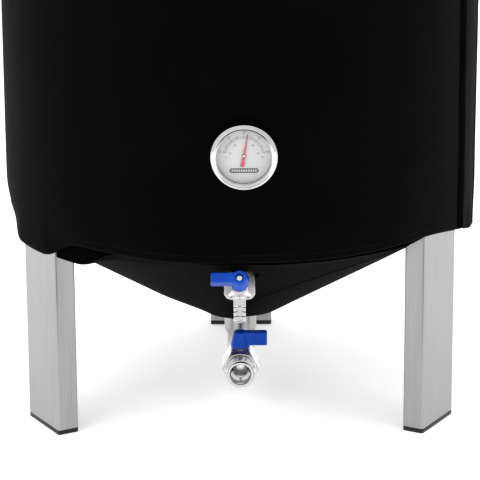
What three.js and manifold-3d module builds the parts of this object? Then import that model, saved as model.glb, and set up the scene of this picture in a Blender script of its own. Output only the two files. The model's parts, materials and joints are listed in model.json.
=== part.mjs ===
// A jacketed conical fermenter: a steel cylinder with a cone below it, on three box-section legs, with a
// neoprene jacket, a dial thermometer, a small racking valve on the cone and a dump valve under its tip.
// Millimetres, +Z up. Inside the group "fermenter" the vessel's axis is the Z axis, the floor is z = 0 and
// the thermometer and both valves face -Y.
import * as THREE from "three";
import { mergeVertices } from "three/addons/utils/BufferGeometryUtils.js";
import Module from "manifold-3d";

const wasm = await Module();
wasm.setup();

// ---- Driving dimensions ----
const GAP = 0.3; // between pieces that touch on the real object
const BIG_SIDES = 40; // sides of the vessel, jacket and lid
const FINE_SIDES = 20;
const SMALL_SIDES = 12;

const VESSEL_R = 201.5; // outside of the steel cylinder
const STEEL = 1.5; // sheet thickness
const CYLINDER_BOTTOM = 203;
const RIM_TOP = 660;
const RIM_BEAD = 4.5; // how far the rolled rim stands out
const CONE_ANGLE = THREE.MathUtils.degToRad(30);
const CONE_TOP = CYLINDER_BOTTOM - GAP;
const CONE_TIP_R = 12;

const LEG_WIDTH = 60;
const LEG_DEPTH = 20;
const LEG_WALL = 1.5;
const LEG_OUT = VESSEL_R; // outer face of each leg, from the axis
const LEG_ANGLES = { leg_front_left: -60, leg_front_right: 60, leg_rear: 180 };
const CAP_HEIGHT = 4;
const CAP_PLUG = 20;

const JACKET = 5.2; // neoprene thickness
const JACKET_R = 209.5;
const JACKET_BOTTOM = 180;
const JACKET_TOP = 590;
const SKIRT_R = 203.9; // rim of the jacket's conical panel
const SKIRT_TIP = { r: 36, z: 79.3 };
const FLAP = { from: 66, to: 78, thick: 2, margin: 5 };

const GAUGE_Z = 275; // height of the thermometer's spindle
const GAUGE_X = 4.3; // and how far it is to the right
const GAUGE_R = 28.15;
const GAUGE_BORE = 5.6;
const POINTER_TILT = 10; // degrees clockwise from upright, at rest

const LATCH_ANGLES = [45, 135, 225, 315];
const LATCH_PIVOT = { out: 9, z: RIM_TOP - 20 };
const LOOP_PIVOT = { out: 13, z: RIM_TOP - 26 };
const LOOP_LENGTH = 35;

const AIRLOCK_Y = 100;

// Each valve in its own frame: the ball at the origin, flow towards -Z, the stem towards -Y.
const RACK_VALVE = {
  name: "rack_valve", place: [0, -178, 154.3], tilt: -30, side: -1, flats: 23, inlet: 12.5, outlet: 11.5,
  ball: 7.2, port: 4.2, inletBore: 7.4,
};
const DRAIN_VALVE = {
  name: "drain_valve", place: [0, -46, 38], tilt: -90, side: 1, flats: 30, inlet: 14, outlet: 15,
  ball: 9.6, port: 6.2, inletBore: 9.9,
};
const STEM_R = 2.6;
const HANDLE = { stand: 1.5, height: 14.5, baseR: 8.3, topR: 5.6, reach: 24, back: 5.6, recessR: 3.5 };

// The box is centred on the origin in X and Y, so the vessel's axis stands a little behind it.
const GAUGE_FRONT = VESSEL_R + 19.8;
const AXIS_Y = (GAUGE_FRONT - JACKET_R) / 2;

// ---- Materials ----
const finish = (color, roughness, metalness) =>
  new THREE.MeshStandardMaterial({ color, roughness, metalness, flatShading: true });
const STEEL_SATIN = finish(0xc4c6c8, 0.35, 1);
const STEEL_BRIGHT = finish(0xd8dadc, 0.15, 1);
const NEOPRENE = finish(0x0b0b0c, 0.85, 0);
const BLACK_PLASTIC = finish(0x1c1d1f, 0.5, 0);
const BLUE = finish(0x1648b4, 0.4, 0);
const SILICONE = finish(0xdfe2e2, 0.55, 0);
const PTFE = finish(0xf4f4f0, 0.5, 0);
const DIAL_WHITE = finish(0xf1f2f2, 0.5, 0);
const POINTER_RED = finish(0xc62f3a, 0.45, 0);
const CLEAR = new THREE.MeshStandardMaterial({
  color: 0xe8f0f2, roughness: 0.08, metalness: 0, transparent: true, opacity: 0.35, flatShading: true,
});

// ---- Solids: every helper takes and returns a BufferGeometry ----
function toSolid(geometry) {
  const bare = geometry.index ? geometry.toNonIndexed() : geometry.clone();
  bare.deleteAttribute("normal");
  bare.deleteAttribute("uv");
  const merged = mergeVertices(bare, 1e-4);
  const corners = Array.from(merged.index.array);
  const build = (flip) => {
    const triangles = [];
    for (let i = 0; i < corners.length; i += 3) {
      const [a, b, c] = corners.slice(i, i + 3);
      if (a !== b && b !== c && c !== a) triangles.push(...(flip ? [a, c, b] : [a, b, c]));
    }
    const vertProperties = merged.attributes.position.array;
    return new wasm.Manifold(
      new wasm.Mesh({ numProp: 3, vertProperties, triVerts: new Uint32Array(triangles) }),
    );
  };
  const made = build(false);
  return made.volume() < 0 ? build(true) : made;
}

function toGeometry(made) {
  const { vertProperties, triVerts } = made.getMesh();
  return new THREE.BufferGeometry()
    .setAttribute("position", new THREE.BufferAttribute(new Float32Array(vertProperties), 3))
    .setIndex(new THREE.BufferAttribute(triVerts, 1));
}

const cut = (base, ...tools) =>
  toGeometry(tools.reduce((left, tool) => left.subtract(toSolid(tool)), toSolid(base)));
const join = (...parts) => toGeometry(parts.map(toSolid).reduce((all, one) => all.add(one)));
const common = (a, b) => toGeometry(toSolid(a).intersect(toSolid(b)));

// A profile of [radius, height] points turned about Z. It closes on itself unless it ends on the axis.
function turned(profile, sides = SMALL_SIDES) {
  const onAxis = profile[0][0] === 0 && profile.at(-1)[0] === 0;
  const outline = onAxis ? profile : [...profile, profile[0]];
  const points = outline.map(([r, z]) => new THREE.Vector2(r, z));
  return toGeometry(toSolid(new THREE.LatheGeometry(points, sides).rotateX(Math.PI / 2)));
}
const rod = (r, low, high, sides) => turned([[0, low], [r, low], [r, high], [0, high]], sides);
const ring = (inner, outer, low, high, sides) =>
  turned([[inner, low], [outer, low], [outer, high], [inner, high]], sides);

const block = (x0, x1, y0, y1, z0, z1) =>
  new THREE.BoxGeometry(x1 - x0, y1 - y0, z1 - z0)
    .translate((x0 + x1) / 2, (y0 + y1) / 2, (z0 + z1) / 2);

const extruded = (points, depth) =>
  new THREE.ExtrudeGeometry(new THREE.Shape(points.map(([x, y]) => new THREE.Vector2(x, y))),
    { depth, bevelEnabled: false });

// An outline drawn in [y, z] and extruded along X, from x0 to x1.
const extrudedAlongX = (points, x0, x1) =>
  extruded(points, x1 - x0)
    .applyMatrix4(new THREE.Matrix4().makeBasis(
      new THREE.Vector3(0, 1, 0), new THREE.Vector3(0, 0, 1), new THREE.Vector3(1, 0, 0)))
    .translate(x0, 0, 0);

// A rectangle of width x depth about the origin with small round corners.
function rounded(width, depth, radius) {
  const points = [];
  const steps = 2;
  for (const [sx, sy, turn] of [[1, 1, 0], [-1, 1, 90], [-1, -1, 180], [1, -1, 270]]) {
    for (let i = 0; i <= steps; i++) {
      const a = THREE.MathUtils.degToRad(turn + (90 * i) / steps);
      points.push([sx * (width / 2 - radius) + radius * Math.cos(a),
        sy * (depth / 2 - radius) + radius * Math.sin(a)]);
    }
  }
  return points;
}

// A path that is sampled only at its own knots, each with its direction.
class Route extends THREE.Curve {
  constructor(knots) {
    super();
    this.knots = knots;
  }

  at(u) {
    return this.knots[Math.round(u * (this.knots.length - 1))];
  }

  getPointAt(u) {
    return this.at(u).point.clone();
  }

  getTangentAt(u) {
    return this.at(u).direction.clone();
  }
}

// A round bar along straight runs joined by bends of one radius.
function bentBar(points, r, bend, sides = 8, bendSteps = 2) {
  const at = points.map((p) => new THREE.Vector3(...p));
  const heading = at.slice(1).map((p, i) => p.clone().sub(at[i]).normalize());
  const knots = [{ point: at[0], direction: heading[0] }];
  for (let i = 1; i < at.length - 1; i++) {
    const [from, to] = [heading[i - 1], heading[i]];
    for (let k = 0; k <= bendSteps; k++) {
      const a = (k / bendSteps) * (Math.PI / 2);
      const point = at[i].clone()
        .addScaledVector(from, bend * (Math.sin(a) - 1)).addScaledVector(to, bend * (1 - Math.cos(a)));
      const direction = from.clone().multiplyScalar(Math.cos(a)).addScaledVector(to, Math.sin(a));
      knots.push({ point, direction });
    }
  }
  knots.push({ point: at.at(-1), direction: heading.at(-1) });
  const section = new THREE.Shape();
  for (let i = 0; i < sides; i++) {
    const a = (2 * Math.PI * i) / sides;
    section[i ? "lineTo" : "moveTo"](r * Math.cos(a), r * Math.sin(a));
  }
  return new THREE.ExtrudeGeometry(section,
    { steps: knots.length - 1, extrudePath: new Route(knots), bevelEnabled: false });
}

const piece = (name, geometry, material) => {
  const mesh = new THREE.Mesh(geometry, material);
  mesh.name = name;
  return mesh;
};

// A group whose +X points away from the vessel's axis at an angle counted from the front, towards +X.
function outward(degrees, ...meshes) {
  const group = new THREE.Group();
  group.rotation.z = THREE.MathUtils.degToRad(degrees - 90);
  group.add(...meshes);
  return group;
}

// ---- Vessel ----
const coneZ = (r) => CONE_TOP - (VESSEL_R - r) * Math.tan(CONE_ANGLE);

function vessel() {
  const inner = VESSEL_R - STEEL;
  const wall = turned([
    [inner, CYLINDER_BOTTOM], [VESSEL_R, CYLINDER_BOTTOM], [VESSEL_R, RIM_TOP - 6],
    [VESSEL_R + RIM_BEAD - 1, RIM_TOP - 5], [VESSEL_R + RIM_BEAD, RIM_TOP - 2.5],
    [VESSEL_R + RIM_BEAD - 1, RIM_TOP], [inner, RIM_TOP],
  ], BIG_SIDES);
  const gaugeHole = rod(GAUGE_BORE, 0, VESSEL_R + 10).rotateX(Math.PI / 2).translate(GAUGE_X, 0, GAUGE_Z);

  const sheet = STEEL / Math.cos(CONE_ANGLE);
  const cone = turned([
    [CONE_TIP_R, coneZ(CONE_TIP_R)], [VESSEL_R, CONE_TOP],
    [VESSEL_R - sheet / Math.tan(CONE_ANGLE), CONE_TOP], [CONE_TIP_R, coneZ(CONE_TIP_R) + sheet],
  ], BIG_SIDES);
  const [, rackY, rackZ] = RACK_VALVE.place;
  const rackHole = rod(RACK_VALVE.inletBore, 0, 60)
    .rotateX(THREE.MathUtils.degToRad(RACK_VALVE.tilt)).translate(0, rackY, rackZ);
  return [
    piece("vessel_cylinder", cut(wall, gaugeHole), STEEL_SATIN),
    piece("vessel_cone", cut(cone, rackHole), STEEL_SATIN),
  ];
}

// ---- Legs: box section, cut to the cone above and capped below ----
function leg(name, degrees) {
  const middle = LEG_OUT - LEG_DEPTH / 2;
  const hollow = extruded(rounded(LEG_DEPTH - 2 * LEG_WALL, LEG_WIDTH - 2 * LEG_WALL, 1.2), 300);
  const tube = cut(
    extruded(rounded(LEG_DEPTH, LEG_WIDTH, 2.5), CYLINDER_BOTTOM), hollow.translate(0, 0, -20),
  ).translate(middle, 0, CAP_HEIGHT + GAP);
  const weldGap = 0.6;
  const above = extruded([
    [middle - LEG_DEPTH, coneZ(middle - LEG_DEPTH) - weldGap],
    [middle + LEG_DEPTH, coneZ(middle + LEG_DEPTH) - weldGap],
    [middle + LEG_DEPTH, 2 * CYLINDER_BOTTOM], [middle - LEG_DEPTH, 2 * CYLINDER_BOTTOM],
  ], 2 * LEG_WIDTH).rotateX(Math.PI / 2).translate(0, LEG_WIDTH, 0);
  const plugFit = 2 * (LEG_WALL + GAP);
  const cap = join(
    extruded(rounded(LEG_DEPTH, LEG_WIDTH, 2.5), CAP_HEIGHT),
    extruded(rounded(LEG_DEPTH - plugFit, LEG_WIDTH - plugFit, 1), CAP_HEIGHT + CAP_PLUG),
  ).translate(middle, 0, 0);
  return outward(degrees,
    piece(name, cut(tube, above), STEEL_SATIN),
    piece(name.replace("leg", "foot_cap"), cap, BLACK_PLASTIC));
}

// ---- Jacket ----
function jacket() {
  const wall = ring(JACKET_R - JACKET, JACKET_R, JACKET_BOTTOM, JACKET_TOP, BIG_SIDES);
  const gaugeHole = rod(12.5, 0, JACKET_R + 10, FINE_SIDES)
    .rotateX(Math.PI / 2).translate(GAUGE_X, 0, GAUGE_Z);

  const slope = Math.atan2(JACKET_BOTTOM - SKIRT_TIP.z, SKIRT_R - SKIRT_TIP.r);
  const rise = JACKET / Math.cos(slope);
  const skirt = turned([
    [SKIRT_TIP.r, SKIRT_TIP.z], [SKIRT_R, JACKET_BOTTOM],
    [SKIRT_R, JACKET_BOTTOM + rise], [SKIRT_TIP.r, SKIRT_TIP.z + rise],
  ], BIG_SIDES);
  const ease = 0.6;
  const slots = Object.values(LEG_ANGLES).map((degrees) =>
    block(LEG_OUT - LEG_DEPTH - ease, LEG_OUT + 20, -LEG_WIDTH / 2 - ease, LEG_WIDTH / 2 + ease, 0, 300)
      .rotateZ(THREE.MathUtils.degToRad(degrees - 90)));
  const [, rackY, rackZ] = RACK_VALVE.place;
  const rackHole = rod(16.5, -20, 60)
    .rotateX(THREE.MathUtils.degToRad(RACK_VALVE.tilt)).translate(0, rackY, rackZ);

  const outline = [];
  const steps = 5;
  for (let i = 0; i <= steps; i++) outline.push([JACKET_R + 0.4, i / steps]);
  for (let i = steps; i >= 0; i--) outline.push([JACKET_R + 0.4 + FLAP.thick, i / steps]);
  const around = outline.map(([r, share]) => {
    const a = THREE.MathUtils.degToRad(FLAP.from + (FLAP.to - FLAP.from) * share - 90);
    return [r * Math.cos(a), r * Math.sin(a)];
  });
  const flap = extruded(around, JACKET_TOP - JACKET_BOTTOM - 2 * FLAP.margin)
    .translate(0, 0, JACKET_BOTTOM + FLAP.margin);
  return [
    piece("jacket_wall", cut(wall, gaugeHole), NEOPRENE),
    piece("jacket_cone", cut(skirt, ...slots, rackHole), NEOPRENE),
    piece("jacket_flap", flap, NEOPRENE),
  ];
}

// ---- Side handles: bent bars on round pads ----
function sideHandle(name, degrees) {
  const half = 52;
  const reach = 30;
  const z = RIM_TOP - 34;
  const foot = VESSEL_R + GAP;
  const bar = bentBar([
    [foot + 0.5, -half, z], [VESSEL_R + reach, -half, z], [VESSEL_R + reach, half, z],
    [foot + 0.5, half, z],
  ], 4, 14);
  const pad = (side) => rod(11, 0, 2).rotateY(Math.PI / 2).translate(foot, side * half, z);
  return outward(degrees, piece(name, join(bar, pad(-1), pad(1)), STEEL_BRIGHT));
}

// ---- Lid, its seal, handle and catches ----
const LID_R = 209;
const LID_FLAT = RIM_TOP + 4.2; // top of the flat shoulder
const LID_SHEET = 1.2;
const DOME = [[0, 31], [90, 25], [172, 3], [186, 0]]; // radius, rise over the shoulder

function lid() {
  const top = DOME.map(([r, rise]) => [r, LID_FLAT + rise]);
  const under = DOME.toReversed().map(([r, rise]) => [r, LID_FLAT + rise - LID_SHEET]);
  const skirtLow = RIM_TOP - 8;
  const shell = turned([
    ...top, [LID_R - 1, LID_FLAT], [LID_R, LID_FLAT - 1], [LID_R, skirtLow],
    [LID_R - LID_SHEET, skirtLow], [LID_R - LID_SHEET, LID_FLAT - LID_SHEET], ...under,
  ], BIG_SIDES);
  const catches = LATCH_ANGLES.map((degrees) => extruded([
    [-9, LID_FLAT - 0.4], [9, LID_FLAT - 0.4], [9, LID_FLAT + 1.6], [10.5, LID_FLAT + 6],
    [9, LID_FLAT + 6.4], [7, LID_FLAT + 2], [-9, LID_FLAT + 1.6],
  ], 18).rotateX(Math.PI / 2).translate(VESSEL_R, 9, 0)
    .rotateZ(THREE.MathUtils.degToRad(degrees - 90)));
  const bungHole = rod(13.2, RIM_TOP - 20, RIM_TOP + 80).translate(0, AIRLOCK_Y, 0);

  const seat = LID_FLAT + DOME[0][1] + GAP;
  const grip = bentBar(
    [[-52, 0, seat + 1], [-52, 0, seat + 40], [52, 0, seat + 40], [52, 0, seat + 1]], 4.5, 15);
  const pads = [-52, 52].map((x) => rod(12, seat, seat + 2.5).translate(x, 0, 0));
  return [
    piece("lid", cut(join(shell, ...catches), bungHole), STEEL_SATIN),
    piece("lid_seal", ring(VESSEL_R - 1, VESSEL_R + RIM_BEAD - 0.5, RIM_TOP + GAP,
      LID_FLAT - LID_SHEET - GAP, BIG_SIDES), SILICONE),
    piece("lid_handle", join(grip, ...pads), STEEL_BRIGHT),
  ];
}

// ---- Airlock in its bung ----
function airlock() {
  const bungTop = RIM_TOP + 40;
  const floor = bungTop + 8;
  const cupTop = floor + 52;
  const bung = turned([
    [5.3, RIM_TOP + 6], [11.6, RIM_TOP + 6], [12.8, RIM_TOP + 31], [16, RIM_TOP + 31.5],
    [16.5, bungTop], [5.3, bungTop],
  ], FINE_SIDES);
  const cup = turned([
    [3.4, RIM_TOP + 2], [5, RIM_TOP + 2], [5, floor], [17.5, floor], [18, floor + 2], [18, cupTop],
    [16.6, cupTop], [16.6, floor + 1.8], [5, floor + 1.8], [5, floor + 36], [3.4, floor + 36],
  ], FINE_SIDES);
  const bell = turned([
    [9.9, floor + 4], [11, floor + 4], [11, floor + 42], [0, floor + 42], [0, floor + 40.8],
    [9.9, floor + 40.8],
  ], FINE_SIDES);
  const cap = turned([
    [18.3, cupTop - 5], [19.5, cupTop - 5], [19.5, cupTop + 2], [18, cupTop + 3], [0, cupTop + 3],
    [0, cupTop + GAP], [18.3, cupTop + GAP],
  ], FINE_SIDES);
  const stack = new THREE.Group();
  stack.position.y = AIRLOCK_Y;
  stack.add(piece("airlock_bung", bung, SILICONE), piece("airlock_cup", cup, CLEAR),
    piece("airlock_bell", bell, CLEAR), piece("airlock_cap", cap, CLEAR));
  return stack;
}

// ---- Draw latches round the rim, hanging open ----
function latch(number, degrees) {
  const { out, z } = LATCH_PIVOT;
  const across = (geometry) => geometry.rotateX(Math.PI / 2); // turns a Z rod to run along Y
  const earR = 3.5;
  const ear = (y) => join(
    block(1.2, out, y, y + 1.5, z - earR, z + earR),
    across(rod(earR, -y - 1.5, -y)).translate(out, 0, z),
  );
  const plate = cut(
    join(block(0, 1.5, -14, 14, z - 24, z + 10), ear(-11.5), ear(10)),
    across(rod(1.8, -20, 20)).translate(out, 0, z),
  ).translate(VESSEL_R + GAP, 0, 0);

  const blade = extruded([
    [out - 0.8, z + 3], [out - 0.8, z - 28], [out + 4, z - 35], [out + 5.2, z - 34],
    [out + 0.8, z - 27.5], [out + 0.8, z + 3],
  ], 18.6).rotateX(Math.PI / 2).translate(0, 9.3, 0);
  const lug = (y) => block(out, out + 6.4, y, y + 1.8, LOOP_PIVOT.z - 2.8, LOOP_PIVOT.z + 2.8);
  const lever = cut(
    join(blade, across(rod(1.4, -12.2, 12.2)).translate(out, 0, z), lug(-9.3), lug(7.5)),
    across(rod(1.6, -20, 20)).translate(LOOP_PIVOT.out, 0, LOOP_PIVOT.z),
  ).translate(VESSEL_R + GAP, 0, 0);

  const low = LOOP_PIVOT.z - LOOP_LENGTH;
  const loop = bentBar([
    [0, -7.8, LOOP_PIVOT.z], [0, -13.2, LOOP_PIVOT.z], [0, -13.2, low], [0, 13.2, low],
    [0, 13.2, LOOP_PIVOT.z], [0, 7.8, LOOP_PIVOT.z],
  ], 1.2, 2.6, 6).translate(VESSEL_R + GAP + LOOP_PIVOT.out, 0, 0);
  return outward(degrees,
    piece("latch_plate_" + number, plate, STEEL_SATIN),
    piece("latch_lever_" + number, lever, STEEL_BRIGHT),
    piece("latch_loop_" + number, loop, STEEL_BRIGHT));
}

// ---- Thermometer: built facing +Z from the steel wall, then turned to face -Y ----
function thermometer() {
  const back = 8.3;
  const dialZ = back + 2.3;
  const stem = turned([
    [0, -62], [2.4, -61.5], [3, -60], [3, -14], [5.2, -13.5], [5.2, 2.8], [10, 2.8], [10, back - GAP],
    [0, back - GAP],
  ], SMALL_SIDES);
  const caseShell = turned([
    [0, back], [26, back], [26, 12.5], [27.6, 13.4], [GAUGE_R, 15.6], [27.3, 18.2], [24.4, 19.8],
    [22.4, 19], [22.4, 18.2], [23.2, 18.2], [23.2, back + 2], [0, back + 2],
  ], 32);
  const dial = ring(1.3, 22.9, dialZ, dialZ + 0.7, FINE_SIDES);
  const needle = extruded([[-1.1, -9], [1.1, -9], [0.9, -1.6], [0.9, 1.6], [0.15, 19], [-0.15, 19],
    [-0.9, 1.6], [-0.9, -1.6]], 0.5).rotateZ(THREE.MathUtils.degToRad(-POINTER_TILT)).translate(0, 0, 12.4);
  const pointer = join(needle, rod(2, 12.1, 13.4), rod(0.9, dialZ + 0.1, 12.5));
  const glass = rod(22.9, 15.4, 17.9, FINE_SIDES);
  const nut = cut(rod(9.5, -6.6, -2.8, 6), rod(GAUGE_BORE, -20, 20));
  const seal = ring(GAUGE_BORE, 11, GAP, 2.5, SMALL_SIDES);

  const group = new THREE.Group();
  group.position.set(GAUGE_X, -VESSEL_R, GAUGE_Z);
  group.rotation.x = Math.PI / 2;
  group.add(piece("gauge_stem", stem, STEEL_BRIGHT), piece("gauge_case", caseShell, STEEL_BRIGHT),
    piece("gauge_dial", dial, DIAL_WHITE), piece("gauge_pointer", pointer, POINTER_RED),
    piece("gauge_glass", glass, CLEAR), piece("gauge_nut", nut, STEEL_BRIGHT),
    piece("gauge_seal", seal, SILICONE));
  return group;
}

// ---- Ball valves ----
const hexagon = (flats) => {
  const corner = flats / Math.sqrt(3);
  return [0, 1, 2, 3, 4, 5].map((i) => [corner * Math.cos((i * Math.PI) / 3),
    corner * Math.sin((i * Math.PI) / 3)]);
};

const stemwise = (geometry) => geometry.rotateX(Math.PI / 2); // turns +Z to -Y

function seatRing(v, chamber) {
  const reach = v.ball + 0.35; // a cone that clears the ball
  const angle = THREE.MathUtils.degToRad(50);
  const face = (r) => (reach - r * Math.sin(angle)) / Math.cos(angle);
  const top = v.ball + 0.9;
  return turned([
    [v.port, face(v.port)], [chamber - GAP, face(chamber - GAP)], [chamber - GAP, top], [v.port, top],
  ], FINE_SIDES);
}

function valve(v, endPiece) {
  const chamber = v.ball + 0.8;
  const shelf = v.ball + 1.2;
  const half = v.flats / 2;
  const corner = v.flats / Math.sqrt(3);
  const envelope = turned([
    [0, -v.outlet], [half * 0.93, -v.outlet], [corner + 0.1, 2.6 - v.outlet],
    [corner + 0.1, v.inlet - 1.6], [half, v.inlet], [0, v.inlet],
  ], FINE_SIDES);
  const length = v.inlet + v.outlet;
  const hex = common(extruded(hexagon(v.flats), length).translate(0, 0, -v.outlet), envelope);
  const body = cut(
    hex,
    rod(v.inletBore, shelf + 1, v.inlet + 5, FINE_SIDES),
    rod(v.port, 0, 60, FINE_SIDES),
    rod(chamber, -v.outlet - 5, shelf, FINE_SIDES),
    stemwise(rod(STEM_R + GAP, v.ball, half + 5)),
  );

  const stemTop = half + HANDLE.stand + 7;
  const slotDepth = 1.7;
  const ball = cut(
    new THREE.SphereGeometry(v.ball, 18, 12),
    rod(v.port, -20, 20, FINE_SIDES).rotateY(Math.PI / 2),
    stemwise(block(-20, 20, -1.4, 1.4, v.ball - slotDepth, v.ball + 5)),
  );
  const stem = cut(
    join(
      stemwise(rod(STEM_R, v.ball + GAP, stemTop)),
      stemwise(block(-2.1, 2.1, -1.1, 1.1, v.ball - slotDepth + GAP, v.ball + 1)),
    ),
    stemwise(rod(1.5, stemTop - 5, stemTop + 5)),
  );
  const gland = stemwise(ring(STEM_R + GAP, 5, half + GAP, half + HANDLE.stand - GAP));

  const base = half + HANDLE.stand;
  const hub = rod(HANDLE.baseR, base, base + 1, FINE_SIDES);
  const skirt = turned([[0, base + 0.5], [HANDLE.baseR, base + 1],
    [HANDLE.topR, base + HANDLE.height], [0, base + HANDLE.height]], FINE_SIDES);
  const wing = extrudedAlongX([
    [-5.2, base + 2], [5.2, base + 2], [4.2, base + HANDLE.height], [-4.2, base + HANDLE.height],
  ], -HANDLE.back, HANDLE.reach);
  const grip = cut(
    join(hub, skirt, wing),
    rod(STEM_R + GAP, base - 1, stemTop + GAP),
    rod(1.6, base, base + 30),
    rod(HANDLE.recessR, base + 9.4, base + 30),
  );
  const lever = stemwise(v.side < 0 ? grip.rotateZ(Math.PI) : grip);
  const screw = stemwise(turned([
    [0, stemTop - 4], [1.2, stemTop - 4], [1.2, base + 9.7], [2.9, base + 9.7], [2.9, base + 10.9],
    [2, base + 11.8], [0, base + 12],
  ], SMALL_SIDES));

  const group = new THREE.Group();
  group.position.set(...v.place);
  group.rotation.x = THREE.MathUtils.degToRad(v.tilt);
  group.add(
    piece(v.name + "_body", body, STEEL_BRIGHT),
    piece(v.name + "_end", endPiece(v, chamber, shelf), STEEL_BRIGHT),
    piece(v.name + "_ball", ball, STEEL_BRIGHT),
    piece(v.name + "_stem", stem, STEEL_BRIGHT),
    piece(v.name + "_seat_in", seatRing(v, chamber), PTFE),
    piece(v.name + "_seat_out", seatRing(v, chamber).rotateX(Math.PI), PTFE),
    piece(v.name + "_gland", gland, STEEL_BRIGHT),
    piece(v.name + "_handle", lever, BLUE),
    piece(v.name + "_screw", screw, STEEL_BRIGHT),
  );
  return group;
}

// The screwed-in outlet of the racking valve, with a three-step hose barb.
function barbEnd(v, chamber, shelf) {
  const neck = 4.7;
  const crest = 5.2;
  const barbs = 3;
  const pitch = 4;
  const tip = 32;
  const first = tip - barbs * pitch;
  const profile = [[3.2, -tip], [4.4, -tip]];
  for (let i = barbs - 1; i >= 0; i--) {
    const high = first + i * pitch;
    profile.push([crest, -high - 0.6], [neck, -high]);
  }
  profile.push([5.1, -first + 0.4], [5.1, -v.outlet - 1.5], [6.4, -v.outlet - GAP],
    [chamber - GAP, -v.outlet - GAP], [chamber - GAP, -shelf], [v.port, -shelf], [3.2, -shelf - 3]);
  return turned(profile, FINE_SIDES);
}

// The screwed-in outlet of the dump valve: a male end with a relief groove and a stepped bore.
function threadedEnd(v, chamber, shelf) {
  const tip = v.outlet + 15;
  const crest = 13.2;
  const root = 12;
  return turned([
    [9.5, -tip], [root, -tip], [crest, -tip + 1.2], [crest, -v.outlet - 2.5], [root, -v.outlet - 2],
    [root, -v.outlet - GAP], [chamber - GAP, -v.outlet - GAP], [chamber - GAP, -shelf],
    [v.port, -shelf], [v.port, -tip + 11], [9.5, -tip + 9],
  ], FINE_SIDES);
}

// ---- Fittings that carry the valves ----
function rackPort() {
  const { inletBore, place, tilt, ball } = RACK_VALVE;
  const port = ring(5, inletBore - GAP, ball + 2.6, 37, SMALL_SIDES);
  const mesh = piece("rack_port", port, STEEL_BRIGHT);
  mesh.position.set(...place);
  mesh.rotation.x = THREE.MathUtils.degToRad(tilt);
  return mesh;
}

function drainFittings() {
  const axisZ = DRAIN_VALVE.place[2];
  const bend = 16;
  const collarLow = axisZ + bend - 1;
  const port = ring(8.5, CONE_TIP_R - GAP, 58, coneZ(CONE_TIP_R) + 4, FINE_SIDES);
  const mouth = DRAIN_VALVE.place[1] + DRAIN_VALVE.inlet; // the valve's inlet face, in Y
  const run = (r, start, end) =>
    bentBar([[0, 0, start], [0, 0, axisZ], [0, end, axisZ]], r, bend, 20, 4);
  const outer = join(
    turned([[0, collarLow], [12, collarLow], [14.5, collarLow + 4], [14.5, 84], [0, 84]], FINE_SIDES),
    run(12, collarLow + 4, mouth + GAP),
    rod(DRAIN_VALVE.inletBore - GAP, 0, 9.8, FINE_SIDES).rotateX(Math.PI / 2)
      .translate(0, mouth + 8, axisZ),
  );
  const elbow = cut(outer, rod(CONE_TIP_R, 57.5, 100, FINE_SIDES), run(7.5, collarLow + 20, mouth - 10));
  return [piece("drain_port", port, STEEL_BRIGHT), piece("drain_elbow", elbow, STEEL_BRIGHT)];
}

// ---- Assembly ----
const fermenter = new THREE.Group();
fermenter.name = "fermenter";
fermenter.position.y = AXIS_Y;
fermenter.add(
  ...vessel(),
  ...Object.entries(LEG_ANGLES).map(([name, degrees]) => leg(name, degrees)),
  ...jacket(),
  sideHandle("side_handle_right", 90),
  sideHandle("side_handle_left", 270),
  ...lid(),
  airlock(),
  ...LATCH_ANGLES.map((degrees, i) => latch(i + 1, degrees)),
  thermometer(),
  rackPort(),
  valve(RACK_VALVE, barbEnd),
  ...drainFittings(),
  valve(DRAIN_VALVE, threadedEnd),
);

export default fermenter;
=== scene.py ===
"""The looks of a jacketed conical fermenter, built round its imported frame.

Every size is in millimetres until a mesh is made. The vessel's axis is vertical, the floor is z = 0,
angles round the vessel are counted in degrees from the front (-Y) towards +X, and "outward" means away
from the vessel's axis.
"""
import json
import logging
import math
from collections.abc import Callable
from dataclasses import dataclass
from enum import Enum

import bmesh
import bpy
import numpy as np
from mathutils import Matrix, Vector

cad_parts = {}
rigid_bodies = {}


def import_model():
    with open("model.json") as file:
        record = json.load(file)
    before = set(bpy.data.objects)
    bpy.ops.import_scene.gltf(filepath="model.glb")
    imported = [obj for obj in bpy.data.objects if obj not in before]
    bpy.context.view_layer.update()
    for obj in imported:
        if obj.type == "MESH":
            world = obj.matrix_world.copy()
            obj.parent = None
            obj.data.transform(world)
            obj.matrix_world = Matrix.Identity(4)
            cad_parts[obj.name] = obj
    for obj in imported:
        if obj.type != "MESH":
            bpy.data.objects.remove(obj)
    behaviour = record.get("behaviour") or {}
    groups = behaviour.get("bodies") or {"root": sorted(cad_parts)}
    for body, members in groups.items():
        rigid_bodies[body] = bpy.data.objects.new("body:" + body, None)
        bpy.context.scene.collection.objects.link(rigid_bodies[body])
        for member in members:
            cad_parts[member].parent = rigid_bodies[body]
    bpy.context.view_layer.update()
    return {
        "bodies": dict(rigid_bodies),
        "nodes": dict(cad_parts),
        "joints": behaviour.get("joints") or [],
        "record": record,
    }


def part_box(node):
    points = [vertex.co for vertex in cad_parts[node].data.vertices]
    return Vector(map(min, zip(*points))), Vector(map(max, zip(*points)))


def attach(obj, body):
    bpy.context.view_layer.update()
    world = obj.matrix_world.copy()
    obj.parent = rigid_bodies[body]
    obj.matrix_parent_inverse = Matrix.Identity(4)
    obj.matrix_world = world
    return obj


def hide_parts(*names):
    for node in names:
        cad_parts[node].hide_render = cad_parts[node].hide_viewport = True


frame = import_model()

MM = 0.001
WELD = 2e-6  # metres; corners closer than this are one corner
SIDES = 96  # round pieces near the eye
BIG_SIDES = 240  # the vessel and its lid
log = logging.getLogger("fermenter")


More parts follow.
